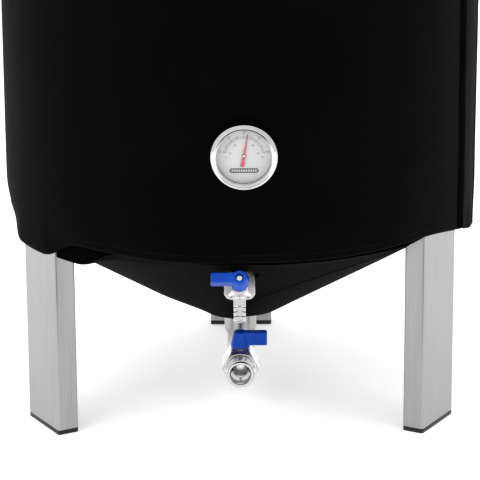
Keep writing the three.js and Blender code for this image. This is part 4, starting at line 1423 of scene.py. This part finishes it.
@dataclass
class Thermometer:
    """The dial thermometer, built facing +Z from the steel wall and then turned to face the front."""

    vessel: Vessel
    height: float = 275.0
    right: float = 4.3
    back: float = 8.3
    bezel: float = 28.15
    case: float = 26.0
    window: float = 22.4
    dial_radius: float = 22.9
    dial_top: float = 11.3
    scale_half: float = 80.0  # the scale runs this far each side of upright, in degrees
    scale_radius: float = 15.8
    tilt: float = 10.0  # the pointer's, clockwise
    numbers: tuple[str, ...] = ("0", "10", "20", "30", "40")
    inner_numbers: tuple[str, ...] = ("32", "50", "", "86", "104")

    def place(self) -> Place:
        """The spindle's frame: its origin on the wall's face, +Z to the front."""
        return Place.at(self.right, -self.vessel.radius, self.height, turn_x(90))

    def case_shell(self) -> Skin:
        """The case with its rolled bezel and the step down to the glass."""
        corners = [(0, self.back), (self.case, self.back), (self.case, 12.4), (27.7, 13.2),
                   (self.bezel, 15.4), (27.4, 18.0), (24.9, 19.8), (23.0, 19.5), (self.window, 18.2),
                   (23.2, 18.2), (23.2, self.back + 2), (0, self.back + 2)]
        return lathed(corners, [0, 1, 0.8, 1.6, 3.5, 3.5, 1.4, 1.2, 0.15, 0.15, 0.5, 0], 128, 6)

    def mark(self, degrees: float, radius: float) -> tuple[float, float]:
        """Where a mark stands on the dial at an angle clockwise from the top."""
        return radius * math.sin(math.radians(degrees)), radius * math.cos(math.radians(degrees))

    def ticks(self) -> Skin:
        """The scale: forty fine bars across a thin arc, with every fifth one longer."""
        count = 41
        angle = np.radians(np.linspace(-self.scale_half, self.scale_half, count))
        away = np.stack([np.sin(angle), np.cos(angle), np.zeros(count)], -1)
        outline = np.array([(1.0, -0.11), (1.0, 0.11), (-1.0, 0.11), (-1.0, -0.11), (1.0, -0.11)])
        fine = prism(outline, 0, 0.05, 0.01, 1)
        long = Skin(fine.points * np.array([1.45, 1.7, 1]), fine.faces, fine.uv)
        up = np.array([0.0, 0, 1])
        lift = np.array([0, 0, self.dial_top])
        rest = np.arange(count) % 5 != 0
        bars = [repeated(fine, away[rest] * self.scale_radius + lift, away[rest], up),
                repeated(long, away[~rest] * (self.scale_radius + 0.4) + lift, away[~rest], up)]
        arcs = []
        for radius in (self.scale_radius - 1.0, self.scale_radius + 1.0):
            level = np.full(count, self.dial_top)
            path = np.stack([radius * np.sin(angle), radius * np.cos(angle), level], -1)
            arcs.append(swept(path, oblong(0.16, 0.1, 0.02, 2), (0, 0, 1), 0.02))
        return Skin.joined(*bars, *arcs)

    def print_(self) -> Skin:
        """All the dial's ink: the scale, its numbers, the unit marks and the plate under the spindle."""
        skins = [self.ticks()]
        for words, inner, angle in zip(self.numbers, self.inner_numbers,
                                       np.linspace(-self.scale_half, self.scale_half, len(self.numbers))):
            skins.append(numeral(words, 3.2).moved(*self.mark(angle, self.scale_radius + 3.9), self.dial_top))
            if inner:
                skins.append(numeral(inner, 2.3).moved(*self.mark(angle, 11.4), self.dial_top))
        for words, angle in (("°C", -96), ("°F", 96)):
            skins.append(numeral(words, 2.6).moved(*self.mark(angle, 14.9), self.dial_top))
        skins.append(prism(oblong(24, 4.1, 2.0), 0, 0.25, 0.08).moved(0, -12.4, self.dial_top - 0.1))
        return Skin.joined(*skins)

    def plate_bars(self) -> Skin:
        """A row of small pale bars along the plate."""
        bar_ = prism(oblong(1.1, 1.7, 0.2, 2), 0, 0.06, 0.02, 1)
        x = np.linspace(-9.6, 9.6, 11)
        centres = np.stack([x, np.full(11, -12.4), np.full(11, self.dial_top + 0.14)], -1)
        return repeated(bar_, centres, np.array([1.0, 0, 0]), np.array([0.0, 0, 1]))

    def needle(self) -> Skin:
        """The pointer: a long taper to the scale and a shorter, wider tail."""
        front = [(1.0, 1.0), (0.25, 18.6), (-0.25, 18.6), (-1.0, 1.0)]
        tail = [(1.1, -1.4), (-1.1, -1.4), (-1.55, -9.0), (1.55, -9.0)]
        plates = [prism(filleted(corners, 0.2, 3), 12.4, 12.85, 0.12) for corners in (front, tail[::-1])]
        hub = lathed([(0, 12.1), (1.9, 12.1), (1.9, 12.7), (1.4, 13.0), (0, 13.0)], [0, 0.2, 0.3, 0.2, 0])
        return Skin.joined(*plates, hub)

    def build(self) -> None:
        """Makes the thermometer's pieces."""
        place, vessel = self.place(), Body.VESSEL.value
        dial = lathed([(1.3, self.dial_top - 0.7), (self.dial_radius, self.dial_top - 0.7),
                       (self.dial_radius, self.dial_top), (1.3, self.dial_top)], 0.15)
        glass = lathed([(0, 15.4), (self.dial_radius, 15.4), (self.dial_radius, 17.9), (0, 17.9)],
                       [0, 0.4, 0.4, 0])
        tilted = Place(place.origin, place.axes @ turn_z(-self.tilt))
        cap = lathed([(0, 12.9), (1.3, 12.9), (1.3, 13.5), (0, 13.8)], [0, 0.1, 0.4, 0])
        pin = rod(0.9, self.dial_top - 0.4, 12.3, 0.1)
        for name, skin, finish, body, nodes in (
            ("gauge_bezel", self.case_shell(), BEZEL_STEEL, vessel, ("gauge_case",)),
            ("gauge_face", dial, DIAL_WHITE, vessel, ("gauge_dial",)),
            ("gauge_print", self.print_(), DIAL_INK, vessel, ()),
            ("gauge_plate_bars", self.plate_bars(), DIAL_WHITE, vessel, ()),
            ("gauge_window", glass, LENS_GLASS, vessel, ("gauge_glass",)),
        ):
            Piece(name, skin.placed(place), finish, body, nodes).build()
        pointer = Body.POINTER.value
        Piece("gauge_needle", self.needle().placed(tilted), POINTER_RED, pointer, ("gauge_pointer",)).build()
        Piece("gauge_needle_hub", Skin.joined(cap, pin).placed(place), BRIGHT_STEEL, pointer).build()


# ---- Ball valves ----
class End(Enum):
    """What a valve's outlet is cut as."""

    BARB = "hose barb"
    THREAD = "male thread"


@dataclass
class BallValve:
    """A two-piece ball valve, in its own frame: ball at the origin, flow towards -Z, stem towards -Y."""

    name: str
    body: str
    place: Place
    side: int  # -1 where the lever points to -X
    flats: float
    inlet: float
    outlet: float
    ball: float
    port: float
    inlet_bore: float
    end: End
    stem_radius: float = 2.6
    stand: float = 1.5
    lever_height: float = 14.5
    lever_base: float = 8.3
    lever_top: float = 5.6
    lever_reach: float = 24.0
    lever_back: float = 5.6
    recess: float = 3.5

    def base(self) -> float:
        """How far along the stem the lever starts."""
        return self.flats / 2 + self.stand

    def hexagon(self, angle: np.ndarray) -> np.ndarray:
        """The radius of a hexagon with slightly soft corners, with a flat face towards the stem.

        It is a high power mean of the distances to the six faces.
        """
        faces = np.radians(np.arange(30, 390, 60))
        reach = np.clip(np.cos(angle[..., None] - faces), 0, None)
        return self.flats / 2 / (reach**70).sum(-1) ** (1 / 70)

    def body_shell(self) -> Skin:
        """The body: a hexagon inside a turned envelope, bored through.

        Down the outside the radius is the smaller of the hexagon and the envelope, whose ends are turned
        to a chamfer. The bore runs back up: the ball's chamber, then the threaded inlet.
        """
        corner = self.flats / math.sqrt(3)
        low, high = -self.outlet, self.inlet
        half = self.flats / 2
        envelope = filleted([(half * 0.90, low), (half * 0.94, low), (corner + 0.1, low + 3.0),
                             (corner + 0.1, high - 1.8), (half, high), (half * 0.9, high)],
                            [0, 0.4, 1.2, 1.0, 0.4, 0], 8, closed=False)
        share = np.append(0, np.cumsum(np.linalg.norm(np.diff(envelope, axis=0), axis=1)))
        even = np.linspace(0, share[-1], 90)
        radius, height = (np.interp(even, share, envelope[:, i]) for i in (0, 1))
        angle = np.linspace(0, 2 * math.pi, 241)[:, None]
        flat = self.hexagon(angle[:, 0])[:, None]
        outer = (flat**-40 + radius[None] ** -40) ** (-1 / 40)
        chamber, shelf = self.ball + 0.8, self.ball + 1.2
        bore = [(self.inlet_bore, high), (self.inlet_bore, shelf + 1), (self.port, shelf + 1),
                (self.port, shelf), (chamber, shelf), (chamber, low)]
        bore_r, bore_z = np.array(bore).T
        radii = np.concatenate([outer, np.broadcast_to(bore_r, (len(angle), len(bore))), outer[:, :1]], 1)
        levels = np.concatenate([height, bore_z, height[:1]])
        points = np.stack(np.broadcast_arrays(radii * np.cos(angle), radii * np.sin(angle), levels[None]), -1)
        return Skin.lattice(points)

    def barb(self) -> Skin:
        """The screwed-in outlet with its three-step hose barb."""
        tip, crest, neck, barbs, pitch = 32.0, 5.2, 4.7, 3, 4.0
        shelf, chamber = self.ball + 1.2, self.ball + 0.5
        first = tip - barbs * pitch
        profile, radii = [(3.2, -tip), (4.9, -tip)], [0.3, 0.4]
        for i in reversed(range(barbs)):
            high = first + i * pitch
            profile += [(crest, -high - 0.8), (neck, -high)]
            radii += [0.35, 0.25]
        profile += [(5.1, -first + 0.5), (5.1, -self.outlet - 1.6), (6.9, -self.outlet - 0.3),
                    (chamber, -self.outlet - 0.3), (chamber, -shelf), (self.port, -shelf), (3.2, -shelf - 3)]
        radii += [0.4, 0.8, 0.3, 0, 0.2, 0.2, 0.5]
        return lathed(profile, radii)

    def thread(self) -> Skin:
        """The screwed-in outlet with its male thread.

        Outside, the radius between the two chamfers is the root plus a clipped triangle wave of the
        height over the pitch less the turn, which makes a single-start helix. Inside is a stepped bore.
        """
        tip, crest, root, pitch = self.outlet + 15, 13.2, 12.2, 1.8
        shelf, chamber = self.ball + 1.2, self.ball + 0.5
        angle = np.linspace(0, 2 * math.pi, 145)[:, None]
        height = np.linspace(-self.outlet - 2.4, -tip + 0.3, 110)[None, :]
        turn = height / pitch - angle / (2 * math.pi)
        tooth = np.clip(1.5 * (1 - np.abs(2 * (turn - np.floor(turn)) - 1)) - 0.25, 0, 1)
        fade = smooth_step((-self.outlet - 2.4 - height) / 0.8) * smooth_step((height + tip - 0.2) / 1.6)
        lead = smooth_step((height + tip) / 1.3)
        outer = root - 0.9 * (1 - lead) + (crest - root) * tooth * fade
        bottom = [(root - 1.2, -tip), (9.9, -tip), (9.4, -tip + 0.6), (9.4, -tip + 8.8),
                  (self.port, -tip + 10.6), (self.port, -shelf), (chamber, -shelf),
                  (chamber, -self.outlet - 0.3), (12.0, -self.outlet - 0.3), (12.0, -self.outlet - 2.3)]
        inner = filleted(bottom, [0.2, 0.3, 0.4, 0.9, 0.6, 0.2, 0.2, 0.1, 0.2, 0.2], 4, closed=False)
        rest_r, rest_z = (np.broadcast_to(inner[:, i], (len(angle), len(inner))) for i in (0, 1))
        radii = np.concatenate([outer, rest_r, outer[:, :1]], 1)
        levels = np.concatenate([np.broadcast_to(height, outer.shape), rest_z,
                                 np.broadcast_to(height[:, :1], (len(angle), 1))], 1)
        return Skin.lattice(np.stack([radii * np.cos(angle), radii * np.sin(angle), levels], -1))

    def ball_skin(self) -> Skin:
        """The ball with its port along X, closed to the flow."""
        edge = math.asin(self.port / self.ball)
        bend = np.linspace(edge, math.pi - edge, 48)
        profile = np.stack([self.ball * np.sin(bend), self.ball * np.cos(bend)], -1)
        profile = np.concatenate([profile, profile[:1]])
        return turned(profile).spun(turn_y(90))

    def seat(self) -> Skin:
        """The seat ring over the ball, with a conical face that just clears it."""
        reach, angle = self.ball + 0.35, math.radians(50)
        chamber, top = self.ball + 0.5, self.ball + 0.9
        corners = [(r, (reach - r * math.sin(angle)) / math.cos(angle)) for r in (self.port, chamber)]
        return lathed([*corners, (chamber, top), (self.port, top)], [0.25, 0.05, 0.2, 0.4])

    def grip(self) -> Skin:
        """The lever along +X with its stem along +Z: a domed cone of a hub, its skirt, and the wing."""
        base, height = self.base(), self.lever_height
        hub = lathed([(0, base), (self.lever_base + 0.3, base), (self.lever_base + 0.3, base + 1.2),
                      (self.lever_top + 0.3, base + height), (0, base + height)], [0, 0.4, 0.6, 1.0, 0], 64)
        x0, x1 = -self.lever_back + 1, self.lever_reach
        top, low = base + height, base + 2.2
        outline = filleted([(low, -5.2), (low, 5.2), (top, 4.2), (top, -4.2)], 1.1, 6)
        x = np.array([x0, x0, x0 + 0.3, x0 + 1.0, x1 - 1.2, x1 - 0.35, x1, x1])
        size = np.array([0, 0.86, 0.97, 1, 1, 0.95, 0.84, 0])
        middle = outline[:-1].mean(0)
        flat = middle + size[:, None, None] * (outline[None] - middle)
        wing = np.stack(np.broadcast_arrays(x[:, None], flat[..., 1], flat[..., 0]), -1)
        return Skin.joined(hub, Skin.lattice(wing))

    def moulding(self, thing: bpy.types.Object) -> None:
        """Melts the hub and wing into one moulding, with the screw's recess and the stem's hole."""
        fused(thing, 0.42, 5)
        base = self.base()
        place = self.stem_place()
        carved(thing, rod(self.recess, base + 9.4, base + 40, 0.1, 64).placed(place),
               rod(self.stem_radius + 0.3, base - 8, self.flats / 2 + self.stand + 7.3, 0.1).placed(place))

    def stem_place(self) -> Place:
        """The frame with +Z out along the stem and +X along the lever."""
        return self.place.turned(turn_x(90) @ turn_z(180 if self.side < 0 else 0))

    def screw(self) -> Skin:
        """The pan-headed screw, whose top is a shallow dome sunk by a cross-shaped slot.

        The slot's depth is the larger of two bars' smooth-edged widths, tapering towards their ends.
        """
        base = self.base()
        angle = np.linspace(0, 2 * math.pi, 97)[:, None]
        radius = np.concatenate([np.linspace(0, 2.3, 26), [2.6, 2.8, 2.9]])[None, :]
        x, y = radius * np.cos(angle), radius * np.sin(angle)
        bars = [smooth_step((0.42 - np.abs(a)) / 0.16) * smooth_step((1.75 - np.abs(b)) / 0.5)
                for a, b in ((x, y), (y, x))]
        dome = base + 12 - 0.2 * (radius / 2) ** 2 - 0.5 * np.clip((radius - 2.2) / 0.7, 0, 1) ** 2
        top = dome - 0.9 * np.maximum(*bars)
        side_r = np.array([2.9, 2.9, 1.2, 1.2, 0])
        side_z = np.array([base + 11.0, base + 9.7, base + 9.7, base + 6.5, base + 6.5])
        count = len(angle)
        radii = np.concatenate([np.broadcast_to(radius, top.shape), np.broadcast_to(side_r, (count, 5))], 1)
        levels = np.concatenate([top, np.broadcast_to(side_z, (count, 5))], 1)
        return Skin.lattice(np.stack([radii * np.cos(angle), radii * np.sin(angle), levels], -1))

    def build(self) -> None:
        """Makes the valve's pieces: the body side rides on the vessel, the lever side turns."""
        vessel, n = Body.VESSEL.value, self.name
        half = self.flats / 2
        stem = self.stem_place()
        upper = self.seat()
        lower = Skin(upper.points * np.array([1, -1, -1]), upper.faces, upper.uv)
        inner, low, high = self.stem_radius + 0.3, half + 0.2, half + self.stand - 0.2
        gland = lathed([(inner, low), (5.2, low), (5.2, high), (inner, high)], 0.2)
        spindle = rod(self.stem_radius, self.ball + 0.3, half + self.stand + 7, 0.3)
        outlet = self.barb() if self.end is End.BARB else self.thread()
        for name, skin, finish, body, node in (
            ("hex_body", self.body_shell(), NICKEL, vessel, "body"),
            ("outlet", outlet, BRIGHT_STEEL, vessel, "end"),
            ("ball_closure", self.ball_skin(), MIRROR_STEEL, self.body, "ball"),
            ("seat_upper", upper, WHITE_PTFE, vessel, "seat_in"),
            ("seat_lower", lower, WHITE_PTFE, vessel, "seat_out"),
        ):
            Piece(f"{n}_{name}", skin.placed(self.place), finish, body, (f"{n}_{node}",), 32).build()
        for name, skin, finish, body, node in (
            ("packing_nut", gland, BRIGHT_STEEL, vessel, "gland"),
            ("spindle", spindle, BRIGHT_STEEL, self.body, "stem"),
            ("lever_screw", self.screw(), MIRROR_STEEL, self.body, "screw"),
        ):
            Piece(f"{n}_{name}", skin.placed(stem), finish, body, (f"{n}_{node}",)).build()
        Piece(f"{n}_lever", self.grip().placed(stem), BLUE_VINYL, self.body, (f"{n}_handle",), 40,
              self.moulding).build()


# ---- Fittings that carry the valves ----
@dataclass
class Fittings:
    """The racking valve's port, and the drain's port, collar and cast elbow."""

    rack: BallValve
    drain: BallValve
    vessel: Vessel
    bend: float = 16.0
    elbow_radius: float = 12.0
    elbow_bore: float = 7.5
    collar_radius: float = 14.5
    collar_top: float = 84.0

    def run(self, section: float, start: float, end: float) -> Skin:
        """A round run down from a height, round the bend and forward to the valve."""
        axis = self.drain_height()
        return bar([(0, 0, start), (0, 0, axis), (0, end, axis)], section, self.bend, (1, 0, 0))

    def drain_height(self) -> float:
        """The height of the dump valve's axis."""
        return float(self.drain.place.origin[2])

    def mouth(self) -> float:
        """Where the dump valve's inlet face is, along Y from the vessel's axis."""
        return float(self.drain.place.origin[1]) - AXIS[1] + self.drain.inlet

    def elbow(self) -> Skin:
        """The elbow's outside: a turned collar and a cast bend that swells slightly under it."""
        low = self.drain_height() + self.bend - 1
        collar = lathed([(0, low), (self.elbow_radius, low), (self.collar_radius, low + 4.5),
                         (self.collar_radius, self.collar_top), (0, self.collar_top)], [0, 2, 1, 0.8, 0])
        spigot = rod(self.drain.inlet_bore - 0.3, 0, 9.8).spun(turn_x(90))
        return Skin.joined(collar, self.run(self.elbow_radius, low + 4, self.mouth() + 0.3),
                           spigot.moved(0, self.mouth() + 8, self.drain_height())).moved(*AXIS)

    def cast(self, thing: bpy.types.Object) -> None:
        """Melts the elbow's shells into one casting and bores it."""
        fused(thing, 0.6, 4)
        bores = [rod(self.vessel.tip_radius, 57.5, 120), self.run(self.elbow_bore, 80, self.mouth() - 12)]
        carved(thing, *[bore.moved(*AXIS) for bore in bores])

    def port_cutter(self) -> Skin:
        """The closed skin that opens the cone for the racking port."""
        return rod(6.0, 15, 50).placed(self.rack.place)

    def valve_cutter(self) -> Skin:
        """The closed skin that opens the jacket round the racking valve."""
        return rod(16.5, -20, 60, 0.3, 72).placed(self.rack.place)

    def build(self) -> None:
        """Makes the ports and the elbow."""
        vessel = Body.VESSEL.value
        low, wall = self.rack.ball + 2.6, self.rack.inlet_bore - 0.3
        port = lathed([(5, low), (wall, low), (wall, 37), (5, 37)], 0.4)
        Piece("rack_port_tube", port.placed(self.rack.place), BRIGHT_STEEL, vessel, ("rack_port",)).build()
        outer = self.vessel.tip_radius - 0.3
        top = self.vessel.cone_height(self.vessel.tip_radius) + 4
        tube = lathed([(8.5, 58), (outer, 58), (outer, top), (8.5, top)], 0.5)
        Piece("drain_port_tube", tube.moved(*AXIS), BRIGHT_STEEL, vessel, ("drain_port",)).build()
        Piece("cast_elbow", self.elbow(), CAST_STEEL, vessel, ("drain_elbow",), 40, self.cast).build()


# ---- Studio ----
@dataclass
class Studio:
    """The pale floor, the soft lights and the camera."""

    lens: float = 195.0
    distance: float = 2265.4
    height: float = 808.8
    azimuth: float = 0.18
    pitch: float = 16.43
    roll: float = -0.32
    sky: float = 1.0
    floor_half: float = 6000.0
    floor_glow: float = 0.42
    flag_near: float = 380.0
    flag_far: float = 1000.0

    def camera(self) -> None:
        """Sets the camera in front of the vessel, looking slightly down."""
        lens = bpy.data.cameras.new("camera")
        lens.lens, lens.sensor_width = self.lens, 36
        lens.clip_start, lens.clip_end = 0.05, 100
        thing = bpy.data.objects.new("camera", lens)
        turn = math.radians(self.azimuth)
        thing.location = ((AXIS + self.distance * np.array([math.sin(turn), -math.cos(turn), 0])
                           + np.array([0, 0, self.height])) * MM)
        thing.rotation_mode = "XYZ"
        facing = (Matrix.Rotation(turn, 4, "Z") @ Matrix.Rotation(math.radians(90 - self.pitch), 4, "X")
                  @ Matrix.Rotation(math.radians(self.roll), 4, "Z"))
        thing.rotation_euler = facing.to_euler()
        bpy.context.scene.collection.objects.link(thing)
        bpy.context.scene.camera = thing

    def floor(self) -> None:
        """A wide pale floor with a faintly uneven matt surface."""
        grid = np.linspace(-self.floor_half, self.floor_half, 9)
        x, y = np.meshgrid(grid, grid, indexing="ij")
        thing = object_of("floor", Skin.lattice(np.stack([x, y, np.zeros_like(x)], -1)))
        graph = Graph("studio floor")
        graph.link(graph.tint(graph.noise(graph.space((3, 3, 3))), (0.90, 0.90, 0.90), (0.93, 0.93, 0.93)),
                   "Base Color")
        graph.constant(Roughness=0.9, Emission_Color=(1, 1, 1, 1), Emission_Strength=self.floor_glow)
        thing.data.materials.append(graph.material)

    def flag(self) -> None:
        """A dark card in front of the object, seen only as a reflection in polished metal."""
        outline = oblong(360, self.flag_far - self.flag_near, 40)
        thing = object_of("flag", prism(outline, 4, 8, 1).moved(20, -(self.flag_far + self.flag_near) / 2))
        graph = Graph("black card")
        graph.link(graph.tint(graph.noise(graph.space((5, 5, 5))), (0.02, 0.02, 0.02), (0.03, 0.03, 0.03)),
                   "Base Color")
        graph.constant(Roughness=0.9)
        thing.data.materials.append(graph.material)
        thing.visible_camera = thing.visible_diffuse = thing.visible_shadow = False

    def lamp(self, name: str, where: tuple, aim: tuple, size: tuple, power: float,
             glint: bool = False) -> None:
        """A soft rectangular lamp.

        Args:
            name: its name.
            where: its place, in metres.
            aim: the point that it faces, in metres.
            size: its width and height, in metres.
            power: its power, in watts.
            glint: whether polished surfaces mirror it.
        """
        light = bpy.data.lights.new(name, "AREA")
        light.shape, light.energy = "RECTANGLE", power
        light.size, light.size_y = size
        thing = bpy.data.objects.new(name, light)
        direction = Matrix.Translation(where).to_translation() - Matrix.Translation(aim).to_translation()
        thing.location = where
        thing.visible_glossy = glint
        thing.rotation_euler = direction.to_track_quat("Z", "Y").to_euler()
        bpy.context.scene.collection.objects.link(thing)

    def build(self) -> None:
        """Sets the camera, the floor, the sky and the lamps."""
        self.camera()
        self.floor()
        self.flag()
        world = bpy.data.worlds.new("sky")
        world.use_nodes = True
        world.node_tree.nodes["Background"].inputs["Color"].default_value = (1, 1, 1, 1)
        world.node_tree.nodes["Background"].inputs["Strength"].default_value = self.sky
        bpy.context.scene.world = world
        bpy.context.scene.view_settings.view_transform = "Standard"
        self.lamp("key", (-1.6, -1.9, 1.9), (0, 0, 0.3), (1.4, 1.4), 26)
        self.lamp("fill", (2.0, -1.6, 1.2), (0, 0, 0.25), (1.2, 1.6), 14)
        self.lamp("top", (0, 0.2, 2.6), (0, 0, 0.3), (1.6, 1.6), 12)


# ---- Assembly ----
LEG_ANGLES = {"leg_front_left": -60.0, "leg_front_right": 60.0, "leg_rear": 180.0}
LATCH_ANGLES = (45.0, 135.0, 225.0, 315.0)


def dress_hidden_nodes() -> None:
    """Gives the CAD nodes that stay their finishes."""
    for node, finish in (("gauge_stem", BRIGHT_STEEL), ("gauge_nut", BRIGHT_STEEL),
                         ("gauge_seal", MILKY_SILICONE)):
        frame["nodes"][node].data.materials.clear()
        frame["nodes"][node].data.materials.append(finish.material())


def main() -> None:
    """Builds the studio and every sub-assembly."""
    logging.basicConfig(level=logging.INFO, format="%(message)s")
    Studio().build()
    vessel = Vessel()
    rack = BallValve("rack_valve", Body.RACK_LEVER.value, Place.at(0, -178, 154.3, turn_x(-30)), -1, 23, 12.5,
                     11.5, 7.2, 4.2, 7.4, End.BARB)
    drain = BallValve("drain_valve", Body.DRAIN_LEVER.value, Place.at(0, -46, 38, turn_x(-90)), 1, 30, 14, 15,
                      9.6, 6.2, 9.9, End.THREAD)
    fittings = Fittings(rack, drain, vessel)
    legs = [Leg(name, angle, vessel) for name, angle in LEG_ANGLES.items()]
    jacket = Jacket(legs[0], tuple(LEG_ANGLES.values()))
    gauge = Thermometer(vessel)

    vessel.build(fittings.port_cutter())
    for leg in legs:
        leg.build()
    jacket.build(rod(12.5, -30, 40, 0.3, 72).placed(gauge.place()), fittings.valve_cutter())
    for name, angle in (("side_handle_right", 90.0), ("side_handle_left", 270.0)):
        SideHandle(name, angle, vessel).build()
    Lid(vessel, LATCH_ANGLES).build()
    Airlock(vessel).build()
    for number, angle in enumerate(LATCH_ANGLES, 1):
        Latch(number, angle, vessel).build()
    gauge.build()
    fittings.build()
    rack.build()
    drain.build()
    dress_hidden_nodes()


if __name__ == "__main__":
    main()
